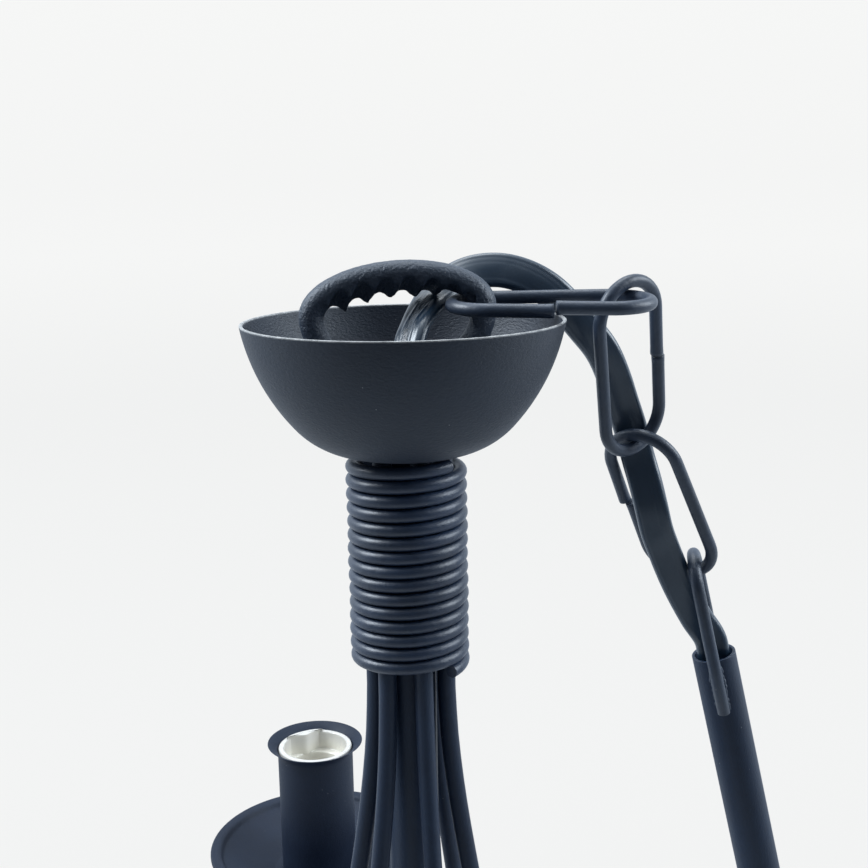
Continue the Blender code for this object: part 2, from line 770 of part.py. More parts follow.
def holder_profile():
    """A porcelain cup with a wide recess over its bore. Heights are over its underside."""
    recess = HOLDER_LIP_R - HOLDER_WALL
    ledge = HOLDER_HEIGHT - HOLDER_RECESS_DEPTH
    socket = NIPPLE_R + SEAT_GAP
    return [
        (0.0, HOLDER_FLOOR),
        (HOLDER_BORE_R, HOLDER_FLOOR),
        (HOLDER_BORE_R, ledge),
        (recess, ledge),
        (recess, HOLDER_HEIGHT),
        (HOLDER_LIP_R, HOLDER_HEIGHT),
        (HOLDER_LIP_R, HOLDER_HEIGHT - HOLDER_LIP_H),
        (HOLDER_R, HOLDER_HEIGHT - HOLDER_LIP_H - (HOLDER_LIP_R - HOLDER_R)),
        (HOLDER_R, 0.0),
        (socket, 0.0),
        (socket, NIPPLE_INTO_HOLDER + SEAT_GAP),
        (0.0, NIPPLE_INTO_HOLDER + SEAT_GAP),
    ]


def shell_profile():
    """The screw shell that lines the bore. Heights are over the bore's floor."""
    outer = HOLDER_BORE_R - SEAT_GAP
    inner = outer - SHELL_WALL
    return [(outer, SHELL_HEIGHT), (outer, 0.0), (inner, 0.0), (inner, SHELL_HEIGHT)]


def tongue_mesh():
    """The bent strip of the middle contact, rising from one side over the bore's floor."""
    spine = [
        (-TONGUE_REACH, 0.0),
        (TONGUE_REACH / 3, 0.0),
        (TONGUE_REACH / 2, TONGUE_RISE / 3),
        (0.0, TONGUE_RISE),
        (-TONGUE_REACH / 3, TONGUE_RISE * 0.8),
    ]
    upper = []
    for i, (x, z) in enumerate(spine):
        back, ahead = spine[max(i - 1, 0)], spine[min(i + 1, len(spine) - 1)]
        run = Vector((ahead[0] - back[0], ahead[1] - back[1])).normalized()
        upper.append((x - run.y * TONGUE_THICK, z + run.x * TONGUE_THICK))
    return filled("contact_tongue", spine + upper[::-1], TONGUE_WIDTH / 2)


def make_fittings():
    pan = outline_mesh("drip_pan", pan_profile())
    sleeve = outline_mesh("candle_sleeve", sleeve_profile())
    holder = outline_mesh("lamp_holder", holder_profile(), closed=False)
    shell = outline_mesh("screw_shell", shell_profile())
    tongue = tongue_mesh()
    holder_foot = PAN_SEAT_HEIGHT + SLEEVE_TOP - HOLDER_BELOW_FLARE - HOLDER_HEIGHT
    bore_floor = holder_foot + HOLDER_FLOOR + SEAT_GAP
    stand_up = Matrix.Rotation(math.pi / 2, 4, "X")
    for number in range(1, ARM_COUNT + 1):
        azimuth = FIRST_CANDLE - math.tau * (number - 1) / ARM_COUNT
        make_arm(number, azimuth)
        x, y = CANDLE_REACH * math.cos(azimuth), CANDLE_REACH * math.sin(azimuth)
        seat = PAN_SEAT_HEIGHT
        turned(f"drip_pan_{number}", pan.copy(), PAN_SIDES, BLACK_COAT, at(x, y, seat))
        place = at(x, y, seat + SLEEVE_SEAT)
        turned(f"candle_sleeve_{number}", sleeve.copy(), SLEEVE_SIDES, BLACK_COAT, place)
        place = at(x, y, holder_foot)
        turned(f"lamp_holder_{number}", holder.copy(), SLEEVE_SIDES, PORCELAIN, place)
        place = at(x, y, bore_floor)
        turned(f"screw_shell_{number}", shell.copy(), SHELL_SIDES, BRIGHT_STEEL, place)
        contact = placed(f"centre_contact_{number}", tongue.copy(), place @ stand_up)
        finish(contact, BRIGHT_STEEL)


# Cast hanging loop


def loop_middle(angle):
    """The middle of the loop's section, before the loop is tilted. 90 degrees is its top."""
    height = LOOP_RISE if math.sin(angle) > 0 else LOOP_DROP
    return Vector((LOOP_HALF_WIDTH * math.cos(angle), 0.0, height * math.sin(angle)))


def tooth(x):
    """How far the inner side stands in at this place, between the round notches."""
    x -= NOTCH_SHIFT
    first = -((NOTCH_COUNT + 1) // 2)
    near = min(max(round(x / NOTCH_PITCH), first), first + NOTCH_COUNT - 1)
    away = abs(x - near * NOTCH_PITCH)
    inside = first * NOTCH_PITCH < x < (first + NOTCH_COUNT - 1) * NOTCH_PITCH
    limit = TOOTH_HEIGHT * (1.0 if inside else max(0.0, 1.0 - away / NOTCH_PITCH))
    share = min(away / NOTCH_R, 1.0)
    rise = TOOTH_HEIGHT * (1.0 - math.sqrt(1.0 - share * share))
    return min(rise, limit)


def loop_rings():
    top_span = LOOP_HALF_WIDTH - LOOP_THICK / 4
    first = math.acos(top_span / LOOP_HALF_WIDTH)
    top_steps = (NOTCH_COUNT + 2) * 6
    angles = []
    for i in range(top_steps):
        x = top_span - top_span * 2 * i / top_steps
        angles.append(math.acos(x / LOOP_HALF_WIDTH))
    low_steps = 14
    low_span = math.tau - (math.pi - first * 2)
    angles += [math.pi - first + low_span * i / low_steps for i in range(low_steps)]
    tilt = Matrix.Rotation(-LOOP_TILT, 3, "Y")
    shift = Vector((-LOOP_SIDE_SHIFT, 0.0, LOOP_OVER_RIM + RIM_HEIGHT))
    sides = 8
    rings = []
    for angle in angles:
        middle = loop_middle(angle)
        out = Vector((math.cos(angle), 0.0, math.sin(angle)))
        height = LOOP_RISE if math.sin(angle) > 0 else LOOP_DROP
        out = Vector((out.x * height, 0.0, out.z * LOOP_HALF_WIDTH)).normalized()
        inner = LOOP_THICK / 2 + (tooth(middle.x) if math.sin(angle) > 0 else 0.0)
        ring = []
        for k in range(sides):
            turn = math.tau * k / sides
            reach = LOOP_THICK / 2 if math.cos(turn) > 0 else inner
            offset = out * math.cos(turn) * reach
            depth = Vector((0.0, LOOP_DEPTH / 2 * math.sin(turn), 0.0))
            ring.append(tilt @ (middle + offset + depth) + shift)
        rings.append(ring)
    return rings


def make_loop():
    """The toothed ring with its neck, foot and threaded stub, cast in one."""
    ring = swept("hanging_loop", loop_rings(), BLACK_COAT, closed=True)
    foot = STEM_TOP + SEAT_GAP
    stub_r = STEM_R - STEM_WALL - SEAT_GAP
    neck_top = RIM_HEIGHT + LOOP_OVER_RIM - LOOP_DROP
    profile = [
        (0.0, neck_top),
        (LOOP_NECK_R, neck_top),
        (LOOP_NECK_R, foot + LOOP_FOOT_H),
        (LOOP_FOOT_R, foot + LOOP_FOOT_H / 2),
        (LOOP_FOOT_R, foot),
        (stub_r, foot),
        (stub_r, foot - LOOP_STUB_LENGTH),
        (0.0, foot - LOOP_STUB_LENGTH),
    ]
    mesh = outline_mesh("loop_neck", profile, closed=False)
    neck = turned("loop_neck", mesh, SMALL_SIDES, None, collection=CUTTERS)
    joined(ring, neck, "UNION")


# Chain, rod and canopy


def make_links():
    for number, link in enumerate((link_1, link_2, link_3), 1):
        points = [over_rim(point) for point in link.path()]
        wire(f"chain_link_{number}", points, LINK_WIRE_R, BLACK_WIRE)


def make_rod():
    top = facing(over_rim(rod_top), rod_down)
    foot = facing(over_rim(rod_foot), rod_down)
    bore = ROD_R - ROD_WALL
    profile = [(ROD_R, 0.0), (ROD_R, -ROD_LENGTH), (bore, -ROD_LENGTH), (bore, 0.0)]
    turned("down_rod", outline_mesh("down_rod", profile), ROD_SIDES, BLACK_COAT, top)
    wire("rod_bail_upper", bail_path(top, 1), BAIL_WIRE_R, BLACK_WIRE)
    wire("rod_bail_lower", bail_path(foot, -1), BAIL_WIRE_R, BLACK_WIRE)


def upright_hole(name, x, y, radius, low, high):
    """A cutter for a round hole."""
    profile = [(0.0, high), (radius, high), (radius, low), (0.0, low)]
    mesh = outline_mesh(name, profile, closed=False)
    return turned(name, mesh, SMALL_SIDES, None, at(x, y), CUTTERS)


def make_canopy():
    corner = CANOPY_CORNER_R
    inner = corner - CANOPY_WALL
    edge = CANOPY_R - corner
    top = CANOPY_HEIGHT - corner
    hole = EYE_STUB_R + SEAT_GAP
    profile = [
        (hole, CANOPY_HEIGHT),
        *arc(edge, top, corner, math.pi / 2, 0.0, 4),
        (CANOPY_R, 0.0),
        (CANOPY_R - CANOPY_LIP, 0.0),
        (CANOPY_R - CANOPY_LIP, CANOPY_WALL),
        (CANOPY_R - CANOPY_WALL, CANOPY_WALL),
        *arc(edge, top, inner, 0.0, math.pi / 2, 3),
        (hole, CANOPY_HEIGHT - CANOPY_WALL),
    ]
    mesh = outline_mesh("ceiling_canopy", profile)
    canopy = turned("ceiling_canopy", mesh, CANOPY_SIDES, BLACK_COAT, at(*CANOPY_AT))
    low, high = CANOPY_HEIGHT - CANOPY_WALL * 2, CANOPY_HEIGHT + CANOPY_WALL
    x, y = CANOPY_AT.x, CANOPY_AT.y
    holes = [(x - CORD_HOLE_REACH, y, CORD_HOLE_R)]
    holes += [(x, y + side * SCREW_REACH, SCREW_R + SEAT_GAP) for side in (-1, 1)]
    for number, (hole_x, hole_y, radius) in enumerate(holes):
        cutter = upright_hole(f"canopy_hole_{number}", hole_x, hole_y, radius, low, high)
        joined(canopy, cutter, "DIFFERENCE")


def make_eye():
    """The ring on the canopy with its collar and threaded stub."""
    x, y = CANOPY_AT.x, CANOPY_AT.y
    centre = Vector((x, y, EYE_FOOT + EYE_R))
    points = []
    for i in range(EYE_POINT_COUNT):
        angle = math.tau * i / EYE_POINT_COUNT
        points.append(centre + Vector((math.sin(angle), 0.0, math.cos(angle))) * EYE_R)
    bare = wire("eye_wire", points, EYE_WIRE_R, BLACK_WIRE, closed=True)
    ring = finish(placed("canopy_eye", welded(bare)), BLACK_WIRE)
    seat = CANOPY_HEIGHT + SEAT_GAP
    foot = STRAP_HEIGHT - NUT_HEIGHT - SEAT_GAP * 2
    profile = [
        (0.0, EYE_FOOT),
        (EYE_COLLAR_R / 2, EYE_FOOT),
        (EYE_COLLAR_R, seat + EYE_COLLAR_H / 2),
        (EYE_COLLAR_R, seat),
        (EYE_STUB_R, seat),
        (EYE_STUB_R, foot),
        (0.0, foot),
    ]
    mesh = outline_mesh("eye_stub", profile, closed=False)
    stub = turned("eye_stub", mesh, SMALL_SIDES, None, at(x, y), CUTTERS)
    joined(ring, stub, "UNION")


def make_nut():
    sides = 6
    outer, bore = NUT_R, (EYE_STUB_R + SEAT_GAP) / math.cos(math.pi / sides)
    top = STRAP_HEIGHT - SEAT_GAP
    foot = top - NUT_HEIGHT
    profile = [(outer, top), (outer, foot), (bore, foot), (bore, top)]
    place = at(CANOPY_AT.x, CANOPY_AT.y)
    turned("canopy_nut", outline_mesh("canopy_nut", profile), sides, BRIGHT_STEEL, place)


def make_strap():
    """The slotted strap that is screwed to the ceiling, across the canopy."""
    bpy.ops.mesh.primitive_cube_add(size=1.0)
    strap = bpy.context.object
    strap.name = "mounting_strap"
    for holder in list(strap.users_collection):
        holder.objects.unlink(strap)
    PIECES.objects.link(strap)
    size = Matrix.Diagonal((STRAP_WIDTH, STRAP_LENGTH, STRAP_THICK, 1.0))
    middle = STRAP_HEIGHT + STRAP_THICK / 2
    strap.data.transform(size)
    strap.matrix_world = at(CANOPY_AT.x, CANOPY_AT.y, middle)
    finish(strap, BRIGHT_STEEL)
    low, high = STRAP_HEIGHT - STRAP_THICK, STRAP_HEIGHT + STRAP_THICK * 2
    holes = [(0.0, EYE_STUB_R + SEAT_GAP)]
    holes += [(side * SCREW_REACH, SCREW_R + SEAT_GAP) for side in (-1, 1)]
    for number, (reach, radius) in enumerate(holes):
        place = CANOPY_AT.x, CANOPY_AT.y + reach
        cutter = upright_hole(f"strap_hole_{number}", *place, radius, low, high)
        joined(strap, cutter, "DIFFERENCE")
    for number, side in enumerate((-1, 1)):
        half, end = STRAP_SLOT_LENGTH / 2 - STRAP_SLOT_WIDTH / 2, STRAP_SLOT_WIDTH / 2
        outline = arc(0.0, half, end, 0.0, math.pi, 5)
        outline += arc(0.0, -half, end, math.pi, math.tau, 5)
        name = f"strap_slot_{number}"
        place = at(CANOPY_AT.x, CANOPY_AT.y + side * STRAP_SLOT_REACH, middle)
        cutter = placed(name, filled(name, outline, STRAP_THICK), place, CUTTERS)
        joined(strap, cutter, "DIFFERENCE")


def make_canopy_screws():
    """Two long screws with cap heads, from the canopy's face into the strap."""
    seat = CANOPY_HEIGHT + SEAT_GAP
    foot = STRAP_HEIGHT - SCREW_PAST_STRAP
    dome = SCREW_CAP_H - SCREW_CAP_R
    profile = [
        *arc(0.0, seat + dome, SCREW_CAP_R, math.pi / 2, 0.0, 3),
        (SCREW_CAP_R, seat),
        (SCREW_R, seat),
        (SCREW_R, foot),
        (0.0, foot),
    ]
    mesh = outline_mesh("canopy_screw", profile, closed=False)
    for number, side in enumerate((-1, 1), 1):
        place = at(CANOPY_AT.x, CANOPY_AT.y + side * SCREW_REACH)
        turned(f"canopy_screw_{number}", mesh.copy(), SHELL_SIDES, BLACK_COAT, place)


# Cord


def cord_section():
    """The flat cord's outline as (across, through), with full round edges."""
    points = []
    for i in range(CORD_SIDES):
        turn = math.tau * (i + 0.5) / CORD_SIDES
        across, through = math.cos(turn), math.sin(turn)
        points.append(
            (
                math.copysign(abs(across) ** 0.7, across) * CORD_WIDTH / 2,
                math.copysign(abs(through) ** 0.7, through) * CORD_THICK / 2,
            )
        )
    widest = max(across for across, _ in points)
    thickest = max(through for _, through in points)
    return [
        (across / widest * CORD_WIDTH / 2, through / thickest * CORD_THICK / 2)
        for across, through in points
    ]


def cord(name, run):
    """A stretch of flat cord. Its ends stop half a seat's gap short."""
    run = list(run)
    for end, sign in ((0, 1), (-1, -1)):
        point, way = run[end]
        run[end] = (point + way * (sign * SEAT_GAP / 2), way)
    section = cord_section()
    rings = []
    for point, way in run:
        across = way.cross(CORD_FACE).normalized()
        through = across.cross(way)
        rings.append([point + across * a + through * b for a, b in section])
    swept(name, rings, BLACK_CORD)


def make_cords():
    """The cord in stretches, one for each joint that it bends across."""
    mouth, foot = over_rim(rod_top), over_rim(rod_foot)
    hole = CANOPY_AT + Vector((-CORD_HOLE_REACH, 0.0, CANOPY_HEIGHT))
    outside = foot + rod_down * CORD_ENTRY / 2
    slack = Vector((-CORD_SWING_OUT, 0.0, 0.0))
    stations = [over_rim(Vector(point) * MM) for point in CORD_ROUTE]
    stations += [mouth - rod_down * CORD_APPROACH, mouth, mouth + rod_down * CORD_ENTRY]
    in_rod = len(stations) - 1
    stations += [
        foot - rod_down * CORD_ENTRY,
        foot,
        outside,
        outside + (rod_down * CORD_ENTRY + slack / 2) / 2,
        outside.lerp(hole, 0.45) + slack,
        outside.lerp(hole, 0.75) + slack / 2,
        hole + Vector((0.0, 0.0, CORD_ENTRY)),
        hole,
        hole - Vector((0.0, 0.0, CANOPY_HEIGHT - CORD_END_HEIGHT)),
    ]
    final = len(stations) - 1
    steps = round(length_of(stations[: in_rod + 1]) / CORD_STEP)
    above = smooth_run(stations, steps + 1, 0, in_rod)
    names = ("cord_from_bowl", "cord_over_link_1", "cord_by_link_2")
    for i, name in enumerate(names):
        first = i * CORD_STRETCH_STEPS
        cord(name, above[first : first + CORD_STRETCH_STEPS + 1])
    run = above[len(names) * CORD_STRETCH_STEPS :]
    run += smooth_run(stations, CORD_ROD_STEPS, in_rod, in_rod + 1)[1:]
    cord("cord_in_rod", run)
    steps = round(length_of(stations[in_rod + 1 :]) / CORD_STEP)
    below = smooth_run(stations, steps + 1, in_rod + 1, final)
    cord("cord_to_canopy", below)
    for name, run in (("above", above), ("below", below)):
        print(f"cord {name}: {length_of([point for point, _ in run]) / MM:.1f} mm")


def make_junction_block():
    """The terminal block in the bowl, which the cord starts from."""
    bpy.ops.mesh.primitive_cube_add(size=1.0)
    block = bpy.context.object
    block.name = "junction_block"
    for holder in list(block.users_collection):
        holder.objects.unlink(block)
    PIECES.objects.link(block)
    block.data.transform(Matrix.Diagonal((BLOCK_WIDTH, BLOCK_DEPTH, BLOCK_HEIGHT, 1.0)))
    foot = RIM_HEIGHT - ARM_TOP_DROP + SEAT_GAP
    block.matrix_world = at(0.0, -BLOCK_REACH, foot + BLOCK_HEIGHT / 2)
    edge = block.modifiers.new("edge", "BEVEL")
    edge.width = BLOCK_EDGE
    edge.segments = 1
    finish(block, PORCELAIN)


make_bowl()
make_stem()
make_finial()
make_wrap()
make_loop()
make_fittings()
make_links()
make_rod()
make_canopy()
make_eye()
make_nut()
make_strap()
make_canopy_screws()
make_junction_block()
make_cords()


# Joints: the pieces of each moving body hang on an empty


first_pivot = Vector((LINK_1_PIVOT_REACH, link_1.start.y, link_1.start.z))
hung_on("link_1_pivot", over_rim(first_pivot), "chain_link_1")
hung_on("link_2_pivot", over_rim(link_1.on_far_bend(LINK_2_CATCH)), "chain_link_2")
hung_on("link_3_pivot", over_rim(link_2.on_far_bend(LINK_3_CATCH)), "chain_link_3")
rod_pivot = over_rim(link_3.on_far_bend(BAIL_CATCH) - rod_level * BAIL_FORWARD)
hung_on("rod_pivot", rod_pivot, "down_rod", "rod_bail_upper", "rod_bail_lower")
hung_on(
    "canopy_pivot",
    over_rim(lower_bail),
    "ceiling_canopy",
    "canopy_eye",
    "canopy_nut",
    "mounting_strap",
    "canopy_screw_1",
    "canopy_screw_2",
)
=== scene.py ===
"""Looks of a six-arm candle chandelier that stands on its arms, its chain laid over the bowl.

Lengths are in metres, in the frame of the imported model: +Z up, the origin on the table under
the stem. Finished pieces keep their place in their mesh, so Object coordinates are places.
"""

import math

import bmesh
import bpy
from mathutils import Matrix, Vector, noise


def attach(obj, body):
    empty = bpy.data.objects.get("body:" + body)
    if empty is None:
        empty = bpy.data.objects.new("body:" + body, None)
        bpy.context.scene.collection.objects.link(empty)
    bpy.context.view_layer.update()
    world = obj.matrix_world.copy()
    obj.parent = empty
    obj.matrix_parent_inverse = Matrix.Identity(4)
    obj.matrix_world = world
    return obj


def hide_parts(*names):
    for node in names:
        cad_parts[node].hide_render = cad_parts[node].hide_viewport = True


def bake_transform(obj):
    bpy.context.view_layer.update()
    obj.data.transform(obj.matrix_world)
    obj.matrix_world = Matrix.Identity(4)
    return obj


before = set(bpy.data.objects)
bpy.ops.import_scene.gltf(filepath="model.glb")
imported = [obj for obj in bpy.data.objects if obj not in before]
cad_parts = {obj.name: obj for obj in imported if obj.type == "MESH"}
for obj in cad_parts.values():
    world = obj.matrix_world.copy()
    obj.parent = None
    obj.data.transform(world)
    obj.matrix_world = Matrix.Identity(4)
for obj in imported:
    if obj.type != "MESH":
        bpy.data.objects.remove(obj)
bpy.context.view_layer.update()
scene = bpy.context.scene

MM = 0.001
TAU = math.tau
UP = Vector((0.0, 0.0, 1.0))

# Places from the model
RIM = 0.471568
STEM_TOP = 0.438568
STEM_FOOT = 0.141568
BUNDLE_R = 0.0106
BUNDLE_TOP = RIM - 31 * MM
WRAP_R = 0.0155
WRAP_FOOT = 0.371918
ROD_TOP = Vector((0.097405, 0.033518, 0.358782))
ROD_FOOT = Vector((0.164270, 0.041314, 0.066433))
ROD_DOWN = Vector((0.222885, 0.025987, -0.974498))
CANOPY = Vector((0.171848, 0.042198, 0.0))
SEAT = 98.0 * MM  # the pans' undersides
HOLDER_FOOT = SEAT + (81.5 - 1.8 - 44) * MM  # the holders' rims are 1.8 mm under the sleeves'

# Which way the flat cord's face looks past the bowl, and in it
CORD_FACE = Vector((-0.25, -0.88, 0.40))
BOWL_FACE = Vector((-0.66, -0.66, 0.36))


# Camera and light


def set_camera():
    """The photograph's place and view, pitched down and turned a little."""
    lens = bpy.data.cameras.new("camera")
    sensor, focal, width = 36.0, 1240.0, 868.0  # millimetres, then pixels of the photograph
    lens.lens = sensor * focal / width
    lens.sensor_width = sensor
    lens.clip_start = 0.01
    lens.clip_end = 60.0
    camera = bpy.data.objects.new("camera", lens)
    scene.collection.objects.link(camera)
    tilt = Matrix.Rotation(math.radians(90.0 - 11.8), 4, "X")
    roll = Matrix.Rotation(math.radians(-1.0), 4, "Z")
    place = Matrix.Translation((0.0081, -0.345, RIM + 0.0402))
    camera.matrix_world = place @ tilt @ roll
    scene.camera = camera


def set_lamp(name, place, aim, size, power, colour):
    """A round lamp at a place, turned to what it lights."""
    lamp = bpy.data.lights.new(name, "AREA")
    lamp.shape = "DISK"
    lamp.size = size
    lamp.energy = power
    lamp.color = colour
    item = bpy.data.objects.new(name, lamp)
    scene.collection.objects.link(item)
    way = (Vector(aim) - Vector(place)).normalized()
    item.rotation_euler = way.to_track_quat("-Z", "Y").to_euler()
    item.location = place


set_camera()


# Node trees


def feed(tree, socket, value):
    """A socket set to a number from another node or to a plain value."""
    if isinstance(value, Val):
        tree.links.new(value.socket, socket)
    else:
        socket.default_value = value


class Val:
    """A number that a node gives. Sums on it add Math nodes to its tree."""

    def __init__(self, tree, socket):
        self.tree = tree
        self.socket = socket

    def math(self, operation, one, two=None, clamp=False):
        """A Math node on one or two numbers, each from a node or plain."""
        made = self.tree.nodes.new("ShaderNodeMath")
        made.operation = operation
        made.use_clamp = clamp
        for spot, given in zip(made.inputs, (one, two)):
            if given is not None:
                feed(self.tree, spot, given)
        return Val(self.tree, made.outputs[0])

    def __add__(self, other):
        return self.math("ADD", self, other)

    def __radd__(self, other):
        return self.math("ADD", other, self)

    def __sub__(self, other):
        return self.math("SUBTRACT", self, other)

    def __rsub__(self, other):
        return self.math("SUBTRACT", other, self)

    def __mul__(self, other):
        return self.math("MULTIPLY", self, other)

    def __rmul__(self, other):
        return self.math("MULTIPLY", other, self)

    def __truediv__(self, other):
        return self.math("DIVIDE", self, other)

    def __abs__(self):
        return self.math("ABSOLUTE", self)

    def above(self, edge):
        """1 past the edge, else 0."""
        return self.math("GREATER_THAN", self, edge)

    def cos(self):
        return self.math("COSINE", self)

    def sin(self):
        return self.math("SINE", self)

    def held(self):
        """Kept between 0 and 1."""
        return self.math("ADD", self, 0.0, True)

    def rising(self, low, high):
        """0 under low, 1 over high, and straight between."""
        return self.math("MULTIPLY", self - low, 1.0 / (high - low), True)


class Tree:
    """A node tree with one way to add a node: its type, its settings, then its sockets."""

    def __init__(self, tree):
        self.tree = tree

    def node(self, kind, settings=None, sockets=None, output=0):
        made = self.tree.nodes.new(kind)
        for key, value in (settings or {}).items():
            setattr(made, key, value)
        for key, value in (sockets or {}).items():
            feed(self.tree, made.inputs[key], value)
        return Val(self.tree, made.outputs[output])

    def parts(self, vector):
        """The three numbers of a vector."""
        split = self.node("ShaderNodeSeparateXYZ", None, {0: vector})
        return [Val(self.tree, output) for output in split.socket.node.outputs]


class Finish(Tree):
    """A material with one Principled shader."""

    def __init__(self, name, roughness, metallic=0.0, coat=0.0, coat_roughness=0.1):
        self.material = bpy.data.materials.new(name)
        self.material.use_nodes = True
        super().__init__(self.material.node_tree)
        self.shader = self.tree.nodes["Principled BSDF"]
        self.set("Roughness", roughness)
        self.set("Metallic", metallic)
        self.set("Coat Weight", coat)
        self.set("Coat Roughness", coat_roughness)

    def set(self, name, value):
        """One of the shader's sockets, fed or set."""
        feed(self.tree, self.shader.inputs[name], value)

    def place(self, stretch=(1.0, 1.0, 1.0)):
        """Object coordinates, scaled along each axis."""
        here = self.node("ShaderNodeTexCoord", output="Object")
        return self.node("ShaderNodeMapping", None, {"Vector": here, "Scale": stretch})

    def noise(self, vector, scale, detail=2.0, rough=0.5, distort=0.0):
        sockets = {"Vector": vector, "Scale": scale, "Detail": detail, "Roughness": rough}
        sockets["Distortion"] = distort
        return self.node("ShaderNodeTexNoise", None, sockets, "Fac")

    def glint(self, level, tint):
        """How strong the plain reflection is, and its tint."""
        self.set("Specular IOR Level", level)
        self.set("Specular Tint", tint)

    def specks(self, vector, scale, size, share):
        """Small round spots, in this share of the cells of a Voronoi pattern."""
        spots = self.node("ShaderNodeTexVoronoi", None, {"Vector": vector, "Scale": scale})
        outputs = spots.socket.node.outputs
        away = Val(self.tree, outputs["Distance"])
        pick = self.parts(Val(self.tree, outputs["Color"]))[0]
        return (1.0 - away.rising(size * 0.6, size)) * pick.above(1.0 - share)

    def mix(self, share, one, two):
        """From one colour to another as share goes from 0 to 1."""
        return self.node("ShaderNodeMix", {"data_type": "RGBA"}, {0: share, 6: one, 7: two}, 2)

    def bump(self, height, strength, distance, under=None):
        """Relief from a height, on top of other relief or alone."""
        sockets = {"Height": height, "Strength": strength, "Distance": distance}
        if under is not None:
            sockets["Normal"] = under
        return self.node("ShaderNodeBump", None, sockets)

    def done(self, base, roughness, relief):
        """The material, once it has its colour, roughness and relief."""
        self.set("Base Color", base)
        self.set("Roughness", roughness.held())
        self.set("Normal", relief)
        return self.material


def colour(red, green, blue):
    """An opaque colour."""
    return (red, green, blue, 1.0)


COOL = colour(0.88, 0.94, 1.0)


def black_coat(name, shade, roughness, gloss, grain, depth, stretch=(1.0, 1.0, 1.0), wear_and_highlight=None):
    """Baked black powder coat: fine pebbled skin, clouded colour, dust and small marks."""
    finish = Finish(name, roughness)
    here = finish.place()
    skin = finish.noise(finish.place(stretch), grain, 3.0, 0.55, 0.35)
    pebble = finish.noise(here, grain * 2.6, 2.0, 0.5)
    cloud = finish.noise(here, 42.0, 3.0, 0.6)
    marks = finish.noise(finish.place((1.0, 1.0, 5.0)), 260.0, 4.0, 0.7).rising(0.66, 0.78)
    dust = finish.specks(here, 330.0, 0.07, 0.16)
    dark = colour(shade[0] * 0.72, shade[1] * 0.74, shade[2] * 0.80)
    light = colour(shade[0] * 1.45, shade[1] * 1.40, shade[2] * 1.32)
    tone = (cloud * 0.55 + skin * 0.45).rising(0.33, 0.68)
    base = finish.mix(tone, dark, light)
    base = finish.mix(marks * 0.25, base, colour(0.055, 0.062, 0.072))
    base = finish.mix(dust * 0.55, base, colour(0.34, 0.35, 0.36))
    # Where a mask is given, the coat is painted light grey there: on the bowl's rim this is a
    # painted highlight, patchy like rubbed coat.
    if wear_and_highlight is not None:
        base = finish.mix(wear_and_highlight(finish), base, colour(0.52, 0.53, 0.53))
    finish.glint(gloss, COOL)
    uneven = skin * 0.16 + cloud * 0.10 + roughness - 0.13 + dust * 0.2
    relief = finish.bump(pebble, 0.30, depth * 0.35, finish.bump(skin, 0.9, depth))
    return finish.done(base, uneven, relief)


def rim_highlight_and_wear(finish):
    """The bowl's thin rim, painted light grey along its top: a painted highlight, broken up like
    rubbed coat.
    """
    height = finish.parts(finish.place())[2]
    top = height.rising(RIM + 0.20 * MM, RIM + 0.60 * MM)
    uneven = finish.noise(finish.place(), 300.0, 3.0, 0.6).rising(0.34, 0.62)
    return top * (0.50 + uneven * 0.45)


def black_wire(name, shade, roughness):
    """Wire that was coated after it was bent: smoother, with small runs and chips."""
    finish = Finish(name, roughness, coat=0.35, coat_roughness=0.30)
    finish.glint(0.75, COOL)
    here = finish.place()
    skin = finish.noise(here, 1500.0, 3.0, 0.55)
    drips = finish.noise(here, 420.0, 2.0, 0.5, 0.4)
    cloud = finish.noise(here, 60.0, 3.0, 0.6)
    chips = finish.specks(here, 520.0, 0.12, 0.05)
    base = finish.mix(cloud.rising(0.35, 0.7), colour(*shade), colour(*[c * 1.7 for c in shade]))
    base = finish.mix(chips * 0.6, base, colour(0.20, 0.20, 0.20))
    uneven = skin * 0.18 + cloud * 0.12 + roughness - 0.14
    relief = finish.bump(skin, 0.7, 0.12 * MM, finish.bump(drips, 0.6, 0.24 * MM))
    return finish.done(base, uneven, relief)


def cord_jacket():
    """Satin black PVC over three cores, with drag lines along it and rubbed places."""
    finish = Finish("cord_jacket", 0.40, coat=0.5, coat_roughness=0.26)
    finish.glint(0.85, colour(0.90, 0.96, 1.0))
    flow = finish.node("ShaderNodeUVMap", {"uv_map": "flow"})
    drawn = {"Vector": flow, "Scale": (90.0, 2600.0, 1.0)}
    lines = finish.noise(finish.node("ShaderNodeMapping", None, drawn), 1.0, 3.0, 0.6)
    here = finish.place()
    skin = finish.noise(here, 1300.0, 2.0, 0.5)
    cloud = finish.noise(here, 70.0, 3.0, 0.6)
    scar = finish.node("ShaderNodeAttribute", {"attribute_name": "scar"}, output="Fac")
    torn = finish.noise(here, 900.0, 5.0, 0.72, 0.8)
    bare = (scar * torn.rising(0.44, 0.60)).held()
    # The blue in these is painted shade: the cool cast of the shade on black PVC.
    dark, light = colour(0.0100, 0.0290, 0.0580), colour(0.0170, 0.0380, 0.0680)
    base = finish.mix(cloud.rising(0.3, 0.7), dark, light)
    base = finish.mix(bare * 0.75, base, colour(0.12, 0.122, 0.124))
    uneven = lines * 0.06 + cloud * 0.10 + bare * 0.25 + 0.27
    fine = finish.bump(skin, 0.18, 0.04 * MM, finish.bump(lines, 0.05, 0.05 * MM))
    return finish.done(base, uneven, finish.bump(torn * scar, 0.9, 0.5 * MM, fine))


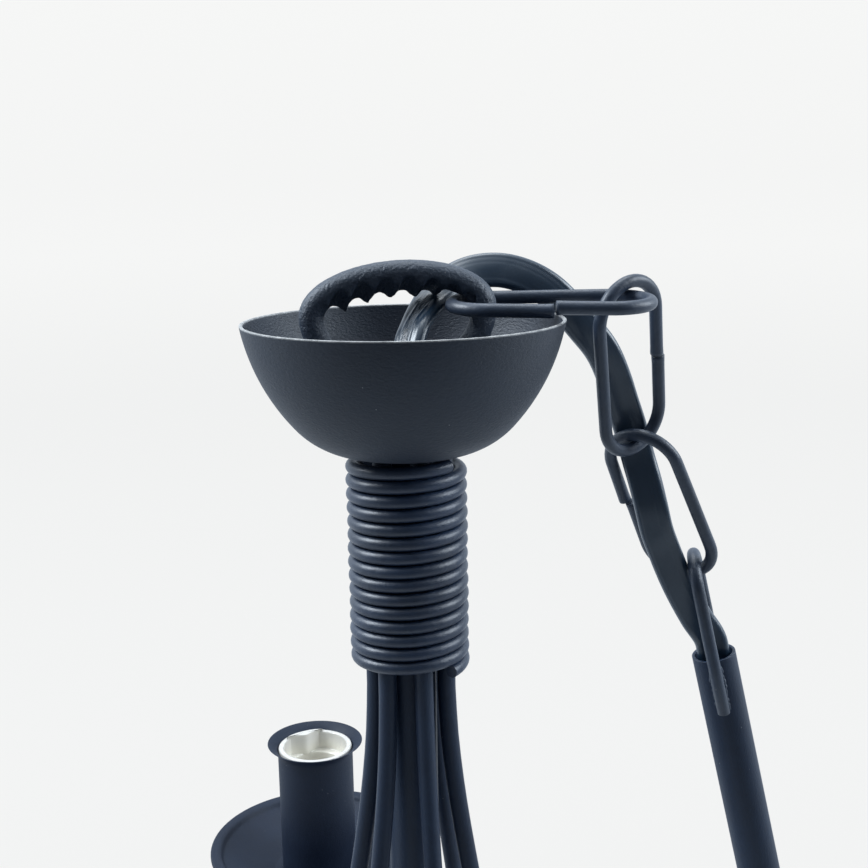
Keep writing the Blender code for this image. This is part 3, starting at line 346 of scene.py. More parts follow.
def porcelain():
    """Glazed lamp holder: off-white, painted a lighter cream down in the recess as painted light
    there, with pinholes.
    """
    finish = Finish("porcelain", 0.22, coat=0.45, coat_roughness=0.08)
    here = finish.place()
    height = finish.parts(here)[2]
    cloud = finish.noise(here, 90.0, 4.0, 0.6)
    pits = finish.specks(here, 420.0, 0.10, 0.10)
    # Painted light: down in the recess the glaze is painted a lighter, warmer cream, for the warm
    # light in the recess's shade.
    deep = 1.0 - height.rising(HOLDER_FOOT + 36.0 * MM, HOLDER_FOOT + 42.5 * MM)
    grey, white = colour(0.62, 0.61, 0.575), colour(0.70, 0.69, 0.65)
    base = finish.mix(cloud.rising(0.3, 0.7), grey, white)
    base = finish.mix(deep * 0.75, base, colour(0.84, 0.82, 0.73))
    base = finish.mix(pits * 0.6, base, colour(0.34, 0.30, 0.24))
    wavy = finish.bump(finish.noise(here, 240.0, 2.0), 0.25, 0.25 * MM)
    relief = finish.bump(pits * -1.0, 0.5, 0.10 * MM, wavy)
    return finish.done(base, cloud * 0.22 + 0.14 + pits * 0.4, relief)


def bright_metal(name, shade, roughness, stain, stretch):
    """Plated sheet or turned metal with fine tool lines and dull stains."""
    finish = Finish(name, roughness, 1.0)
    here = finish.place()
    lines = finish.noise(finish.place(stretch), 700.0, 3.0, 0.6)
    cloud = finish.noise(here, 120.0, 4.0, 0.65)
    base = finish.mix(cloud.rising(0.38, 0.72), colour(*shade), colour(*stain))
    finish.set("Metallic", (1.0 - cloud.rising(0.62, 0.80) * 0.35).held())
    uneven = roughness - 0.12 + lines * 0.22 + cloud * 0.14
    return finish.done(base, uneven, finish.bump(lines, 0.35, 0.05 * MM))


def block_plastic():
    """Milky moulded plastic of a terminal block, a little yellowed and dusty."""
    finish = Finish("block_plastic", 0.42)
    here = finish.place()
    cloud = finish.noise(here, 300.0, 3.0, 0.6)
    grain = finish.noise(here, 1800.0, 2.0)
    dull, milky = colour(0.62, 0.60, 0.52), colour(0.74, 0.72, 0.64)
    base = finish.mix(cloud.rising(0.3, 0.7), dull, milky)
    return finish.done(base, grain * 0.2 + 0.32, finish.bump(grain, 0.3, 0.05 * MM))


# The coats' base colours. The casting's is painted lighter than the others, a lit copy of the same
# black coat standing for light on its face. The blue in all of them is painted shade: the cool cast
# of the shade on black.
BOWL_INK = (0.0050, 0.0108, 0.0245)
CAST_INK_PAINTED_LIT = (0.0180, 0.0310, 0.0560)
TUBE_INK = (0.0042, 0.0155, 0.0430)
SHEET_INK = (0.0048, 0.0115, 0.0300)
LOOKS = {
    # The bowl's coat carries a painted highlight along the rim's top.
    "bowl": black_coat(
        "bowl_coat", BOWL_INK, 0.54, 0.80, 1150.0, 0.20 * MM, (0.75, 0.75, 1.5), rim_highlight_and_wear
    ),
    "cast": black_coat("cast_coat", CAST_INK_PAINTED_LIT, 0.50, 1.0, 1350.0, 0.32 * MM),
    "tube": black_coat("tube_coat", TUBE_INK, 0.50, 0.65, 1500.0, 0.10 * MM, (1.2, 1.2, 0.6)),
    "sheet": black_coat("sheet_coat", SHEET_INK, 0.58, 0.45, 1250.0, 0.14 * MM),
    "wrap": black_wire("wrap_coat", (0.0060, 0.0160, 0.0400), 0.46),
    "link": black_wire("link_coat", (0.0110, 0.0215, 0.0430), 0.50),
    "cord": cord_jacket(),
    "porcelain": porcelain(),
    "shell": bright_metal(
        "nickel_shell", (0.62, 0.60, 0.55), 0.28, (0.40, 0.37, 0.30), (1.0, 1.0, 6.0)
    ),
    "brass": bright_metal(
        "brass_strip", (0.60, 0.44, 0.20), 0.30, (0.34, 0.25, 0.14), (1.0, 6.0, 1.0)
    ),
    "zinc": bright_metal(
        "zinc_plate", (0.58, 0.59, 0.60), 0.36, (0.38, 0.39, 0.40), (6.0, 1.0, 1.0)
    ),
    "block": block_plastic(),
}


# Shapes


def smooth_run(stations, count, first=0, last=None):
    """Points on a smooth curve through stations, each with the curve's direction there."""
    ends = [stations[0] * 2 - stations[1], *stations, stations[-1] * 2 - stations[-2]]
    fine = []
    parts = 12
    for a, b, c, d in zip(ends, ends[1:], ends[2:], ends[3:]):
        before, chord, after = b - a, c - b, d - c
        span = chord.length
        leave = (before * (span / before.length) + chord * (before.length / span)) * span
        leave /= before.length + span
        reach = (chord * (after.length / span) + after * (span / after.length)) * span
        reach /= after.length + span
        for i in range(parts):
            t = i / parts
            bend = (chord * 3 - leave * 2 - reach) * t * t + (leave + reach - chord * 2) * t**3
            fine.append(b + leave * t + bend)
    fine.append(stations[-1])
    final = len(fine) - 1
    ways = [(fine[min(i + 1, final)] - fine[max(i - 1, 0)]).normalized() for i in range(final + 1)]
    begin, stop = first * parts, final if last is None else last * parts
    along = [0.0]
    for one, two in zip(fine[begin:stop], fine[begin + 1 : stop + 1]):
        along.append(along[-1] + (two - one).length)
    run, k = [], 0
    for i in range(count):
        goal = along[-1] * i / (count - 1)
        while k < len(along) - 2 and along[k + 1] < goal:
            k += 1
        share = min(max((goal - along[k]) / (along[k + 1] - along[k]), 0.0), 1.0)
        here = begin + k
        way = ways[here].lerp(ways[here + 1], share).normalized()
        run.append((fine[here].lerp(fine[here + 1], share), way))
    return run


def eased_share(t):
    """0 up to 0, 1 from 1 on, and smooth between."""
    t = min(max(t, 0.0), 1.0)
    return t * t * (3 - 2 * t)


def length_of(line):
    """The length of a line through points."""
    return sum((two - one).length for one, two in zip(line, line[1:]))


def polar(radius, angle, height=0.0):
    """The point at this radius and angle round Z."""
    return Vector((radius * math.cos(angle), radius * math.sin(angle), height))


def round_turn(count):
    """Evenly spaced angles of one turn."""
    return [TAU * k / count for k in range(count)]


def ridges(one, two, first, pitch, half, count):
    """Rows of a profile that go to and fro between two radii, as a thread does."""
    rows = []
    for k in range(count):
        height = first + k * pitch
        rows += [(one, height), (two, height + half)]
    return rows


def arc(cx, cz, radius, start, end, steps):
    """Points (x, z) on an arc round a centre."""
    turn = (end - start) / steps
    return [
        (cx + radius * math.cos(start + turn * i), cz + radius * math.sin(start + turn * i))
        for i in range(steps + 1)
    ]


def eased(profile, radius, closed=False, steps=4):
    """A profile with its corners rounded."""
    count = len(profile)
    made = []
    for i in range(count):
        here = Vector(profile[i])
        if not closed and i in (0, count - 1):
            made.append(tuple(here))
            continue
        back, ahead = Vector(profile[i - 1]) - here, Vector(profile[(i + 1) % count]) - here
        reach = min(radius, back.length * 0.45, ahead.length * 0.45)
        if reach < 1e-6 or back.angle(ahead) > math.radians(172):
            made.append(tuple(here))
            continue
        one, two = here + back.normalized() * reach, here + ahead.normalized() * reach
        for k in range(steps + 1):
            t = k / steps
            made.append(tuple(one * (1 - t) ** 2 + here * 2 * t * (1 - t) + two * t * t))
    return made


def mesh_of(name, points, faces, place=None, flat=()):
    """A mesh with its faces outwards and smooth. The edges round the flat parts stay crisp."""
    work = bmesh.new()
    corners = [work.verts.new(place @ Vector(p) if place else p) for p in points]
    made = [work.faces.new([corners[k] for k in face]) for face in faces]
    flat = {made[k] for k in flat}
    for face in flat:
        for edge in face.edges:
            edge.smooth = flat.issuperset(edge.link_faces)
    bmesh.ops.recalc_face_normals(work, faces=work.faces)
    for face in work.faces:
        face.smooth = True
    mesh = bpy.data.meshes.new(name)
    work.to_mesh(mesh)
    work.free()
    return mesh


def turned(name, profile, sides, place=None, closed=False):
    """A profile (radius, height) turned about Z. A point on the axis becomes one pole."""
    points, rows, faces = [], [], []
    for r, z in profile:
        if r < 1e-7:
            rows.append([len(points)] * sides)
            points.append((0.0, 0.0, z))
            continue
        rows.append(list(range(len(points), len(points) + sides)))
        points += [polar(r, angle, z) for angle in round_turn(sides)]
    pairs = list(zip(rows, rows[1:]))
    if closed:
        pairs.append((rows[-1], rows[0]))
    for one, two in pairs:
        for k in range(sides):
            j = (k + 1) % sides
            face = list(dict.fromkeys((one[k], one[j], two[j], two[k])))
            if len(face) > 2:
                faces.append(face)
    return mesh_of(name, points, faces, place)


def skin(name, rings, closed=False, flat_ends=True):
    """A skin over rings of points, its ends shut with fans."""
    size = len(rings[0])
    points = [point for ring in rings for point in ring]
    faces, flat = [], []
    count = len(rings)
    for i in range(count if closed else count - 1):
        one, two = i * size, (i + 1) % count * size
        for k in range(size):
            j = (k + 1) % size
            faces.append((one + k, one + j, two + j, two + k))
    if not closed:
        for ring in (0, count - 1):
            middle = sum((Vector(p) for p in rings[ring]), Vector()) / size
            points.append(middle)
            start = ring * size
            for k in range(size):
                if flat_ends:
                    flat.append(len(faces))
                faces.append((start + k, start + (k + 1) % size, len(points) - 1))
    return mesh_of(name, points, faces, flat=flat)


def wire_rings(points, radius, sides, closed=False, widths=None, cut=0.12 * MM):
    """Rings round a path, turned as little as they can be, with slightly broken end edges."""
    count = len(points)
    ways = []
    for i in range(count):
        if closed:
            way = points[(i + 1) % count] - points[i - 1]
        else:
            way = points[min(i + 1, count - 1)] - points[max(i - 1, 0)]
        ways.append(way.normalized())
    side = ways[0].orthogonal().normalized()
    rings = []
    for i in range(count):
        side = (side - ways[i] * side.dot(ways[i])).normalized()
        other = ways[i].cross(side)
        r = radius * (widths[i] if widths else 1.0)
        ways_out = [side * math.cos(a) + other * math.sin(a) for a in round_turn(sides)]
        rings.append([points[i] + way * r for way in ways_out])
    if not closed and cut:
        for end in (0, -1):
            back = ways[end] * (cut if end == 0 else -cut)
            edge = [points[end] + (p - points[end]) * (1 - cut / radius) for p in rings[end]]
            rings[end] = [p + back for p in rings[end]]
            rings.insert(0 if end == 0 else len(rings), edge)
    return rings


def wire(name, points, radius, sides, closed=False, flat_ends=True, **shape):
    """A round wire along a path."""
    rings = wire_rings(points, radius, sides, closed, **shape)
    return skin(name, rings, closed, flat_ends)


def facing(origin, down):
    """A place whose -Z runs along a direction, and whose Y stays as level as it can."""
    up = -down.normalized()
    across = Vector((0.0, 1.0, 0.0)).cross(up).normalized()
    level = up.cross(across)
    turn = Matrix((across, level, up)).transposed().to_4x4()
    return Matrix.Translation(origin) @ turn


def item_of(name, mesh):
    """A mesh as an object in the scene."""
    item = bpy.data.objects.new(name, mesh)
    scene.collection.objects.link(item)
    return item


def settled(item):
    """The object with its modifiers worked into its mesh."""
    ready = item.evaluated_get(bpy.context.evaluated_depsgraph_get())
    mesh = bpy.data.meshes.new_from_object(ready)
    item.modifiers.clear()
    old = item.data
    item.data = mesh
    mesh.name = item.name
    if old.users == 0:
        bpy.data.meshes.remove(old)
    return item


def carved(item, tools, operation="DIFFERENCE"):
    """Booleans with some tools, which the object's later modifiers follow."""
    for tool in tools:
        change = item.modifiers.new("boolean", "BOOLEAN")
        change.operation = operation
        change.solver = "EXACT"
        change.object = tool


def carved_out(item, tool):
    """The object with a tool's shape taken out of it."""
    carved(item, [tool])
    settled(item)
    bpy.data.objects.remove(tool)


def soft_edged(item, width, segments, degrees):
    """The object with the edges past this angle broken."""
    ease = item.modifiers.new("ease", "BEVEL")
    ease.width = width
    ease.segments = segments
    ease.limit_method = "ANGLE"
    ease.angle_limit = math.radians(degrees)
    settled(item)
    crisp(item)


def crisp(item, degrees=32):
    """Smooth faces with crisp edges past this angle."""
    item.data.shade_smooth()
    item.data.set_sharp_from_angle(angle=math.radians(degrees))


def brick(name, middle, size):
    """A plain box as an object."""
    work = bmesh.new()
    bmesh.ops.create_cube(work, size=1.0)
    place = Matrix.Translation(middle) @ Matrix.Diagonal((*size, 1.0))
    bmesh.ops.transform(work, matrix=place, verts=work.verts)
    mesh = bpy.data.meshes.new(name)
    work.to_mesh(mesh)
    work.free()
    return item_of(name, mesh)


def joined_meshes(name, meshes):
    """Several meshes as one."""
    work = bmesh.new()
    for mesh in meshes:
        work.from_mesh(mesh)
    made = bpy.data.meshes.new(name)
    work.to_mesh(made)
    work.free()
    return made


def dress(item, look, body, slot, *nodes):
    """A piece's finish, the body that it rides on and the nodes that it stands for."""
    item.data.materials.clear()
    item.data.materials.append(LOOKS[look])
    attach(item, body)
    if nodes:
        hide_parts(*nodes)


def piece(name, mesh, look, body, slot, node):
    """A mesh as a dressed piece."""
    dress(item_of(name, mesh), look, body, slot, node)


# Plans in Geometry Nodes


def plan(name, inputs):
    """A Geometry Nodes tree with named inputs: the tree, and its inputs by name."""
    tree = bpy.data.node_groups.new(name, "GeometryNodeTree")
    tree.interface.new_socket("Geometry", in_out="INPUT", socket_type="NodeSocketGeometry")
    for title, kind in inputs.items():
        tree.interface.new_socket(title, in_out="INPUT", socket_type=f"NodeSocket{kind}")
    tree.interface.new_socket("Geometry", in_out="OUTPUT", socket_type="NodeSocketGeometry")
    source = tree.nodes.new("NodeGroupInput")
    given = {socket.name: Val(tree, socket) for socket in source.outputs if socket.name}
    return Tree(tree), given


def end_plan(nodes, shape, material):
    """The tree's end: real geometry with its material."""
    real = nodes.node("GeometryNodeRealizeInstances", None, {"Geometry": shape})
    done = nodes.node("GeometryNodeSetMaterial", None, {"Geometry": real, "Material": material})
    last = nodes.tree.nodes.new("NodeGroupOutput")
    nodes.tree.links.new(done.socket, last.inputs[0])


def grown(name, mesh, nodes, values):
    """An object that a plan makes from a mesh."""
    item = item_of(name, mesh)
    change = item.modifiers.new("plan", "NODES")
    change.node_group = nodes.tree
    for socket in nodes.tree.interface.items_tree:
        if socket.in_out == "INPUT" and socket.name in values:
            change[socket.identifier] = values[socket.name]
    return settled(item)


def ring_plan():
    """Copies of a piece, evenly round the stem."""
    nodes, given = plan("ring_of_copies", {"Copies": "Int", "Material": "Material"})
    spots = nodes.node("GeometryNodePoints", None, {"Count": given["Copies"]})
    number = nodes.node("GeometryNodeInputIndex")
    turn = number * -TAU / given["Copies"]
    turn = nodes.node("ShaderNodeCombineXYZ", None, {"Z": turn})
    copies = {"Points": spots, "Instance": given["Geometry"], "Rotation": turn}
    shape = nodes.node("GeometryNodeInstanceOnPoints", None, copies)
    end_plan(nodes, shape, given["Material"])
    return nodes


def winding_plan():
    """A wire wound on a round core, each turn a little out of true."""
    sizes = ("Radius", "Pitch", "Foot", "Start", "Wire Radius", "Uneven")
    inputs = {"Turns": "Int", "Steps": "Int", "Material": "Material"}
    inputs |= {title: "Float" for title in sizes}
    nodes, given = plan("wound_wire", inputs)
    line = nodes.node("GeometryNodeCurvePrimitiveLine")
    count = given["Turns"] * given["Steps"] + 1.0
    line = nodes.node("GeometryNodeResampleCurve", None, {"Curve": line, "Count": count})
    number = nodes.node("GeometryNodeInputIndex")
    turn = number / given["Steps"]
    angle = turn * TAU + given["Start"]
    drift = (turn * 2.9).sin() * 0.6 + (turn * 7.3 + 1.0).sin() * 0.4
    reach = given["Radius"] + given["Uneven"] * (turn * 5.1 + 0.7).sin()
    height = given["Foot"] + given["Pitch"] * turn + given["Uneven"] * drift
    spot = {"X": reach * angle.cos(), "Y": reach * angle.sin(), "Z": height}
    spot = nodes.node("ShaderNodeCombineXYZ", None, spot)
    line = nodes.node("GeometryNodeSetPosition", None, {"Geometry": line, "Position": spot})
    circle = {"Resolution": 18, "Radius": given["Wire Radius"]}
    circle = nodes.node("GeometryNodeCurvePrimitiveCircle", None, circle)
    sweep = {"Curve": line, "Profile Curve": circle, "Fill Caps": True}
    shape = nodes.node("GeometryNodeCurveToMesh", None, sweep)
    shape = nodes.node("GeometryNodeSetShadeSmooth", None, {"Geometry": shape})
    end_plan(nodes, shape, given["Material"])
    return nodes


RING = ring_plan()
WINDING = winding_plan()


def six(name, mesh, look, slot, node):
    """One object of six copies round the stem, which stands for six nodes."""
    item = grown(name, mesh, RING, {"Copies": 6, "Material": LOOKS[look]})
    dress(item, look, "chandelier", slot, *[f"{node}_{i}" for i in range(1, 7)])


# Cord


CORD_WIDTH = 10.4 * MM
CORD_THICK = 3.9 * MM

# In millimetres from the middle of the bowl's rim
CORD_ROUTE = [
    (0.0, -13.8, -22.2),
    (0.1, -13.5, -17.5),
    (1.0, -11.0, -8.5),
    (2.4, -7.6, -2.6),
    (4.8, -1.5, 1.6),
    (8.0, 4.6, 5.6),
    (12.6, 9.4, 9.6),
    (19.2, 13.5, 12.4),
    (28.0, 16.0, 12.9),
    (35.5, 17.8, 10.8),
    (41.5, 18.8, 7.4),
    (46.8, 19.6, 2.6),
    (52.6, 20.8, -4.2),
    (58.6, 23.2, -11.8),
    (63.1, 26.0, -21.4),
    (65.4, 27.6, -28.0),
    (68.4, 29.4, -36.4),
    (71.2, 29.6, -46.5),
    (73.4, 28.0, -54.5),
    (75.2, 27.2, -62.0),
    (77.2, 28.0, -69.8),
    (79.9, 29.4, -76.8),
    (84.9, 31.0, -88.4),
    (91.2, 32.6, -100.2),
]
FINE = 6  # rings to each step of the model's cord
TEAR_HALF = 1.7 * MM  # half the width of the rubbed stripe in the bowl


def cord_section():
    """The flat cord's outline as (across, through, groove), with grooves between its cores."""
    r = CORD_THICK / 2
    reach = CORD_WIDTH / 2 - r
    edge = [(across, through, 0.0) for across, through in arc(reach, 0.0, r, 0.0, TAU / 36 * 8, 8)]
    upper = list(edge)
    for k in range(25):
        across = reach * (1 - k / 12)
        away = abs(abs(across) - reach / 2)
        upper.append((across, r, max(0.0, 1 - away / (0.8 * MM)) ** 1.5))
    upper += [(-across, through, 0.0) for across, through, _ in reversed(edge)]
    return upper + [(across, -through, groove) for across, through, groove in reversed(upper[1:-1])]


SECTION = cord_section()


def groove_depth(across, distance):
    """Deep where the cord is bare in the bowl. Further on only one soft groove is left."""
    bare = min(max((40 * MM - distance) / (14 * MM), 0.0), 1.0)
    rest = 0.04 * MM if across < 0 else 0.0
    return rest + (0.32 * MM - rest) * bare


def belly(across, distance):
    """The jacket's soft bulge between its edges, past the bare part."""
    begin, stop = (distance - 28 * MM) / (16 * MM), (150 * MM - distance) / (30 * MM)
    round_off = 1.0 - (across / (CORD_WIDTH / 2 - CORD_THICK / 2)) ** 2
    return 0.5 * MM * eased_share(begin) * eased_share(stop) * max(0.0, round_off)


def stretch(name, node, run, before, after, begun=0.0, scarred=False, settled_at=None):
    """A stretch of the flat cord along part of its run, its face turning from the bowl's way to the
    cord's.
    """
    rings, spots, distance = [], [], 0.0
    for i, (point, way) in enumerate(run):
        if i:
            distance += (point - run[i - 1][0]).length
        turned_in = eased_share((begun + distance - 14 * MM) / (34 * MM))
        across = way.cross(BOWL_FACE.lerp(CORD_FACE, turned_in)).normalized()
        through = across.cross(way)
        ring = []
        for a, t, groove in SECTION:
            swell = 0.0
            if scarred and t > 0 and abs(a) < TEAR_HALF and distance < 36 * MM:
                rub = 1.0 - abs(a) / TEAR_HALF
                spot = Vector((a * 1400, distance * 700, 3.0))
                swell = noise.noise(spot) * 0.34 * MM * rub
            place = begun + distance
            t += math.copysign(belly(a, place) - groove * groove_depth(a, place), t)
            ring.append(point + across * a + through * (t + min(swell, 0.0)))
        rings.append(ring)
        spots.append(distance)
    mesh = skin(name, rings)
    size = len(SECTION)
    flow = mesh.uv_layers.new(name="flow")
    for loop in mesh.loops:
        ring, k = divmod(loop.vertex_index, size)
        if ring < len(rings):
            across = SECTION[k][0] + (0.02 if SECTION[k][1] < 0 else 0.0)
            flow.data[loop.index].uv = (begun + spots[ring], across)
    scar = mesh.attributes.new("scar", "FLOAT", "POINT")
    if scarred:
        for k in range(size * len(rings)):
            a, t, _ = SECTION[k % size]
            at = spots[k // size]
            if t > 0:
                side = max(0.0, 1.0 - abs(a + 0.15 * MM) / (1.5 * MM))
                fade = min(1.0, max(0.0, (33 * MM - at) / (9 * MM)))
                scar.data[k].value = min(1.0, side * 1.8) * fade
    item = item_of(name, mesh)
    item.data.materials.append(LOOKS["cord"])
    line = [point for point, _ in run]
    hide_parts(node)
    if settled_at is None:
        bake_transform(item)
    else:
        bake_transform(item)
    round(length_of(line), 4)
    return begun + distance


def make_cords():
    """The cord from the bowl over the chain, down the rod and into the canopy."""
    hole = CANOPY + Vector((-20, 0, 24)) * MM
    outside = ROD_FOOT + ROD_DOWN * 4.5 * MM
    slack = Vector((-9, 0, 0)) * MM
    stations = [Vector(point) * MM + UP * RIM for point in CORD_ROUTE]
    stations += [ROD_TOP - ROD_DOWN * 4 * MM, ROD_TOP, ROD_TOP + ROD_DOWN * 9 * MM]
    in_rod = len(stations) - 1
    stations += [
        ROD_FOOT - ROD_DOWN * 9 * MM,
        ROD_FOOT,
        outside,
        outside + (ROD_DOWN * 9 * MM + slack / 2) / 2,
        outside.lerp(hole, 0.45) + slack,
        outside.lerp(hole, 0.75) + slack / 2,
        hole + Vector((0, 0, 9)) * MM,
        hole,
        hole - Vector((0, 0, 12)) * MM,
    ]
    step = 6.5 * MM
    steps = round(length_of(stations[: in_rod + 1]) / step) * FINE
    above = smooth_run(stations, steps + 1, 0, in_rod)
    part = 10 * FINE - 2  # as long as a stretch has to be, and a little more
    run = above[: part + 1]
    on = stretch("flat_cord_1", "cord_from_bowl", run, "chandelier", "link_1", scarred=True)
    run = above[part : part * 2 + 1]
    on = stretch("flat_cord_2", "cord_over_link_1", run, "link_1", "link_2", on)
    run = above[part * 2 : part * 3 + 1]
    on = stretch("flat_cord_3", "cord_by_link_2", run, "link_2", "link_3", on)
    run = above[part * 3 :] + smooth_run(stations, 60, in_rod, in_rod + 1)[1:]
    on = stretch("flat_cord_4", "cord_in_rod", run, "link_3", "rod", on, settled_at=ROD_TOP)
    steps = round(length_of(stations[in_rod + 1 :]) / step) * FINE
    below = smooth_run(stations, steps + 1, in_rod + 1, len(stations) - 1)
    stretch("flat_cord_5", "cord_to_canopy", below, "rod", "canopy", on)


make_cords()


# Bowl, stem, wire and finial


def make_bowl():
    """A spun bowl with a thin, slightly rolled rim."""
    wall = 1.0 * MM
    lean = math.radians(10.6)
    side_r, foot_r, mouth, deep = 59.0 * MM, 25.0 * MM, 45.3 * MM, 36.8 * MM

    def face(off, steps):
        """The wall's outer side, or its inner side at this distance, from the rim to the hole."""
        cx = mouth - side_r * math.cos(lean)
        cz = RIM + side_r * math.sin(lean)
        foot_z = RIM - deep + foot_r
        rise = cz - foot_z
        run = math.sqrt((side_r - foot_r) ** 2 - rise**2)
        meet = -math.atan2(rise, run)
        hole = 13.6 * MM
        rim = -math.asin((cz - RIM - 0.75 * MM) / (side_r - off))
        last = -math.acos((hole - cx - run) / (foot_r - off))
        side = arc(cx, cz, side_r - off, rim, meet, steps)
        return side + arc(cx + run, foot_z, foot_r - off, meet, last, steps // 2)[1:]

    profile = eased(face(0.0, 36) + face(wall, 36)[::-1], 0.35 * MM, True, 3)
    mesh = turned("bowl", profile, 144, closed=True)
    piece("bowl", mesh, "bowl", "chandelier", "black_coat", "top_bowl")


def make_stem():
    """The tube inside the ring of arms."""
    outer, bore = 7.5 * MM, 6.0 * MM
    profile = [(outer, STEM_TOP), (outer, STEM_FOOT), (bore, STEM_FOOT), (bore, STEM_TOP)]
    mesh = turned("stem", eased(profile, 0.3 * MM, True), 48, closed=True)
    piece("stem", mesh, "tube", "chandelier", "black_coat", "centre_stem")


def make_finial():
    """A turned ball with a collar and a small tip."""
    top = STEM_FOOT - 0.3 * MM
    collar = top - 4 * MM
    neck = collar - 5 * MM
    ball_r, neck_r, tip_r = 13 * MM, 5 * MM, 3.6 * MM
    ball = neck - math.sqrt(ball_r**2 - neck_r**2)
    tip = ball - ball_r * math.sin(math.acos(tip_r / ball_r)) - 7 * MM
    profile = [(0.0, top + 10 * MM), (5.7 * MM, top + 10 * MM), (5.7 * MM, top)]
    profile += [(9.5 * MM, top), (9.5 * MM, collar + 0.4 * MM), (8.6 * MM, collar)]
    profile += [(neck_r, collar), *arc(0.0, ball, ball_r, math.acos(neck_r / ball_r), 0.05, 16)]
    profile += [(ball_r, ball)]
    profile += arc(0.0, ball, ball_r, -0.05, -math.acos(tip_r / ball_r), 16)
    profile += arc(0.0, tip + tip_r, tip_r, 0.0, -math.pi / 2, 8)
    mesh = turned("finial", eased(profile, 0.5 * MM), 64)
    piece("finial", mesh, "sheet", "chandelier", "black_coat", "stem_finial")


def make_wrap():
    """The wire wound round the arms."""
    values = {
        "Turns": 15,
        "Steps": 60,
        "Radius": WRAP_R,
        "Pitch": 4.05 * MM,
        "Foot": WRAP_FOOT,
        "Start": math.radians(-40),
        "Wire Radius": 1.92 * MM,
        "Uneven": 0.07 * MM,
        "Material": LOOKS["wrap"],
    }
    item = grown("wrap", bpy.data.meshes.new("wrap"), WINDING, values)
    dress(item, "wrap", "chandelier", "black_wire", "wrap_wire")


# Arms


# An arm's middle line as shares: outwards and down to its low point, then outwards and up
DOWN_SHARES = [
    (0.0, 0.0),
    (0.0025, 0.040),
    (0.0075, 0.078),
    (0.0235, 0.158),
    (0.051, 0.262),
    (0.092, 0.372),
    (0.164, 0.502),
    (0.278, 0.645),
    (0.444, 0.790),
    (0.648, 0.915),
    (0.860, 0.988),
    (1.0, 1.0),
]
UP_SHARES = [(0.46, 0.10), (0.82, 0.36), (0.965, 0.66), (1.0, 0.90)]
REACH = 351.0 * MM  # from the stem to the candles
FIRST = math.radians(100.9)
CANDLE = polar(REACH, FIRST)


def make_arms():
    """The tube, its plate with a weld under it and the threaded end, six times."""
    arm_r, lowest = 2.7 * MM, 275.0 * MM
    start = WRAP_FOOT - 1.8 * MM - 9 * MM + arm_r
    plate = SEAT - 0.3 * MM - 2.4 * MM
    run, fall = lowest - BUNDLE_R, start - arm_r
    rows = [(BUNDLE_R + run * out, start - fall * down) for out, down in DOWN_SHARES]
    bend = len(rows) - 1
    run, climb = REACH - lowest, plate - arm_r
    rows += [(lowest + run * out, arm_r + climb * up) for out, up in UP_SHARES]
    rows.append((REACH, plate))
    stations = [Vector((r, 0.0, z)) for r, z in rows]
    line = smooth_run(stations, 66, 0, bend) + smooth_run(stations, 36, bend, len(rows) - 1)[1:]
    flat = [Vector((BUNDLE_R, 0.0, BUNDLE_TOP)), *(place for place, _ in line)]
    points = []
    for place in flat:
        out = (place.x - BUNDLE_R) / (REACH - BUNDLE_R)
        left = max(0.0, 1.0 - out / 0.3)
        turn = FIRST + math.radians(11.1) * left * left
        height = max(place.z, arm_r)
        points.append(polar(place.x, turn, height))
    tube = wire("arm", points, arm_r, 20)
    r, nipple = 8.0 * MM, 4.8 * MM
    top = HOLDER_FOOT + 4 * MM
    profile = [(0.0, plate), (r, plate), (r, plate + 2.4 * MM), (nipple, plate + 2.4 * MM)]
    profile = eased(profile, 0.4 * MM)
    pitch = 1.0 * MM
    count = round((top - plate - 3.4 * MM) / pitch)
    profile += ridges(nipple - 0.45 * MM, nipple, plate + 2.9 * MM, pitch, pitch / 2, count)
    profile += [(nipple - 0.6 * MM, top), (0.0, top)]
    disc = turned("plate", profile, 40, Matrix.Translation(CANDLE))
    around = round_turn(24)
    lumps = [1.0 + 0.18 * noise.noise(polar(2, turn, 5.0)) for turn in around]
    bead = [CANDLE + polar(3.1, turn) * MM + UP * (plate - 0.4 * MM) for turn in around]
    bead = wire("weld", bead, 1.0 * MM, 8, True, widths=lumps)
    mesh = joined_meshes("arms", [tube, disc, bead])
    six("arms", mesh, "tube", "black_coat", "arm")


# Candle fittings


def make_pans():
    """Spun dishes: a dished middle, a soft step and a broad lip with a turned-over edge."""
    wall, r, flat, step, lip = 1.4 * MM, 65.2 * MM, 27 * MM, 57.6 * MM, 2.8 * MM
    low, level = 12.6 * MM, 16.0 * MM
    shares = [i / 24 for i in range(25)]
    dish = [(flat + (step - flat) * t, low * t * (0.66 + 0.34 * t)) for t in shares]
    band = [(step + 1.5 * MM, level - 1.0 * MM), (step + 3.4 * MM, level - 0.2 * MM)]
    under = eased([*dish, *band, (r - wall, level)], 1.2 * MM)
    upper = [(x, z + wall) for x, z in under]
    roll = arc(r - wall, level, wall, math.pi * 0.5, 0.0, 8)
    roll += [(r, level + wall - lip), (r - wall, level + wall - lip)]
    hole = 5.1 * MM
    profile = [(hole, 0.0), *under, *roll[::-1], *upper[-2::-1], (hole, wall)]
    place = Matrix.Translation(CANDLE + UP * SEAT)
    mesh = turned("pans", eased(profile, 0.3 * MM, True, 3), 96, place, closed=True)
    six("pans", mesh, "sheet", "black_coat", "drip_pan")


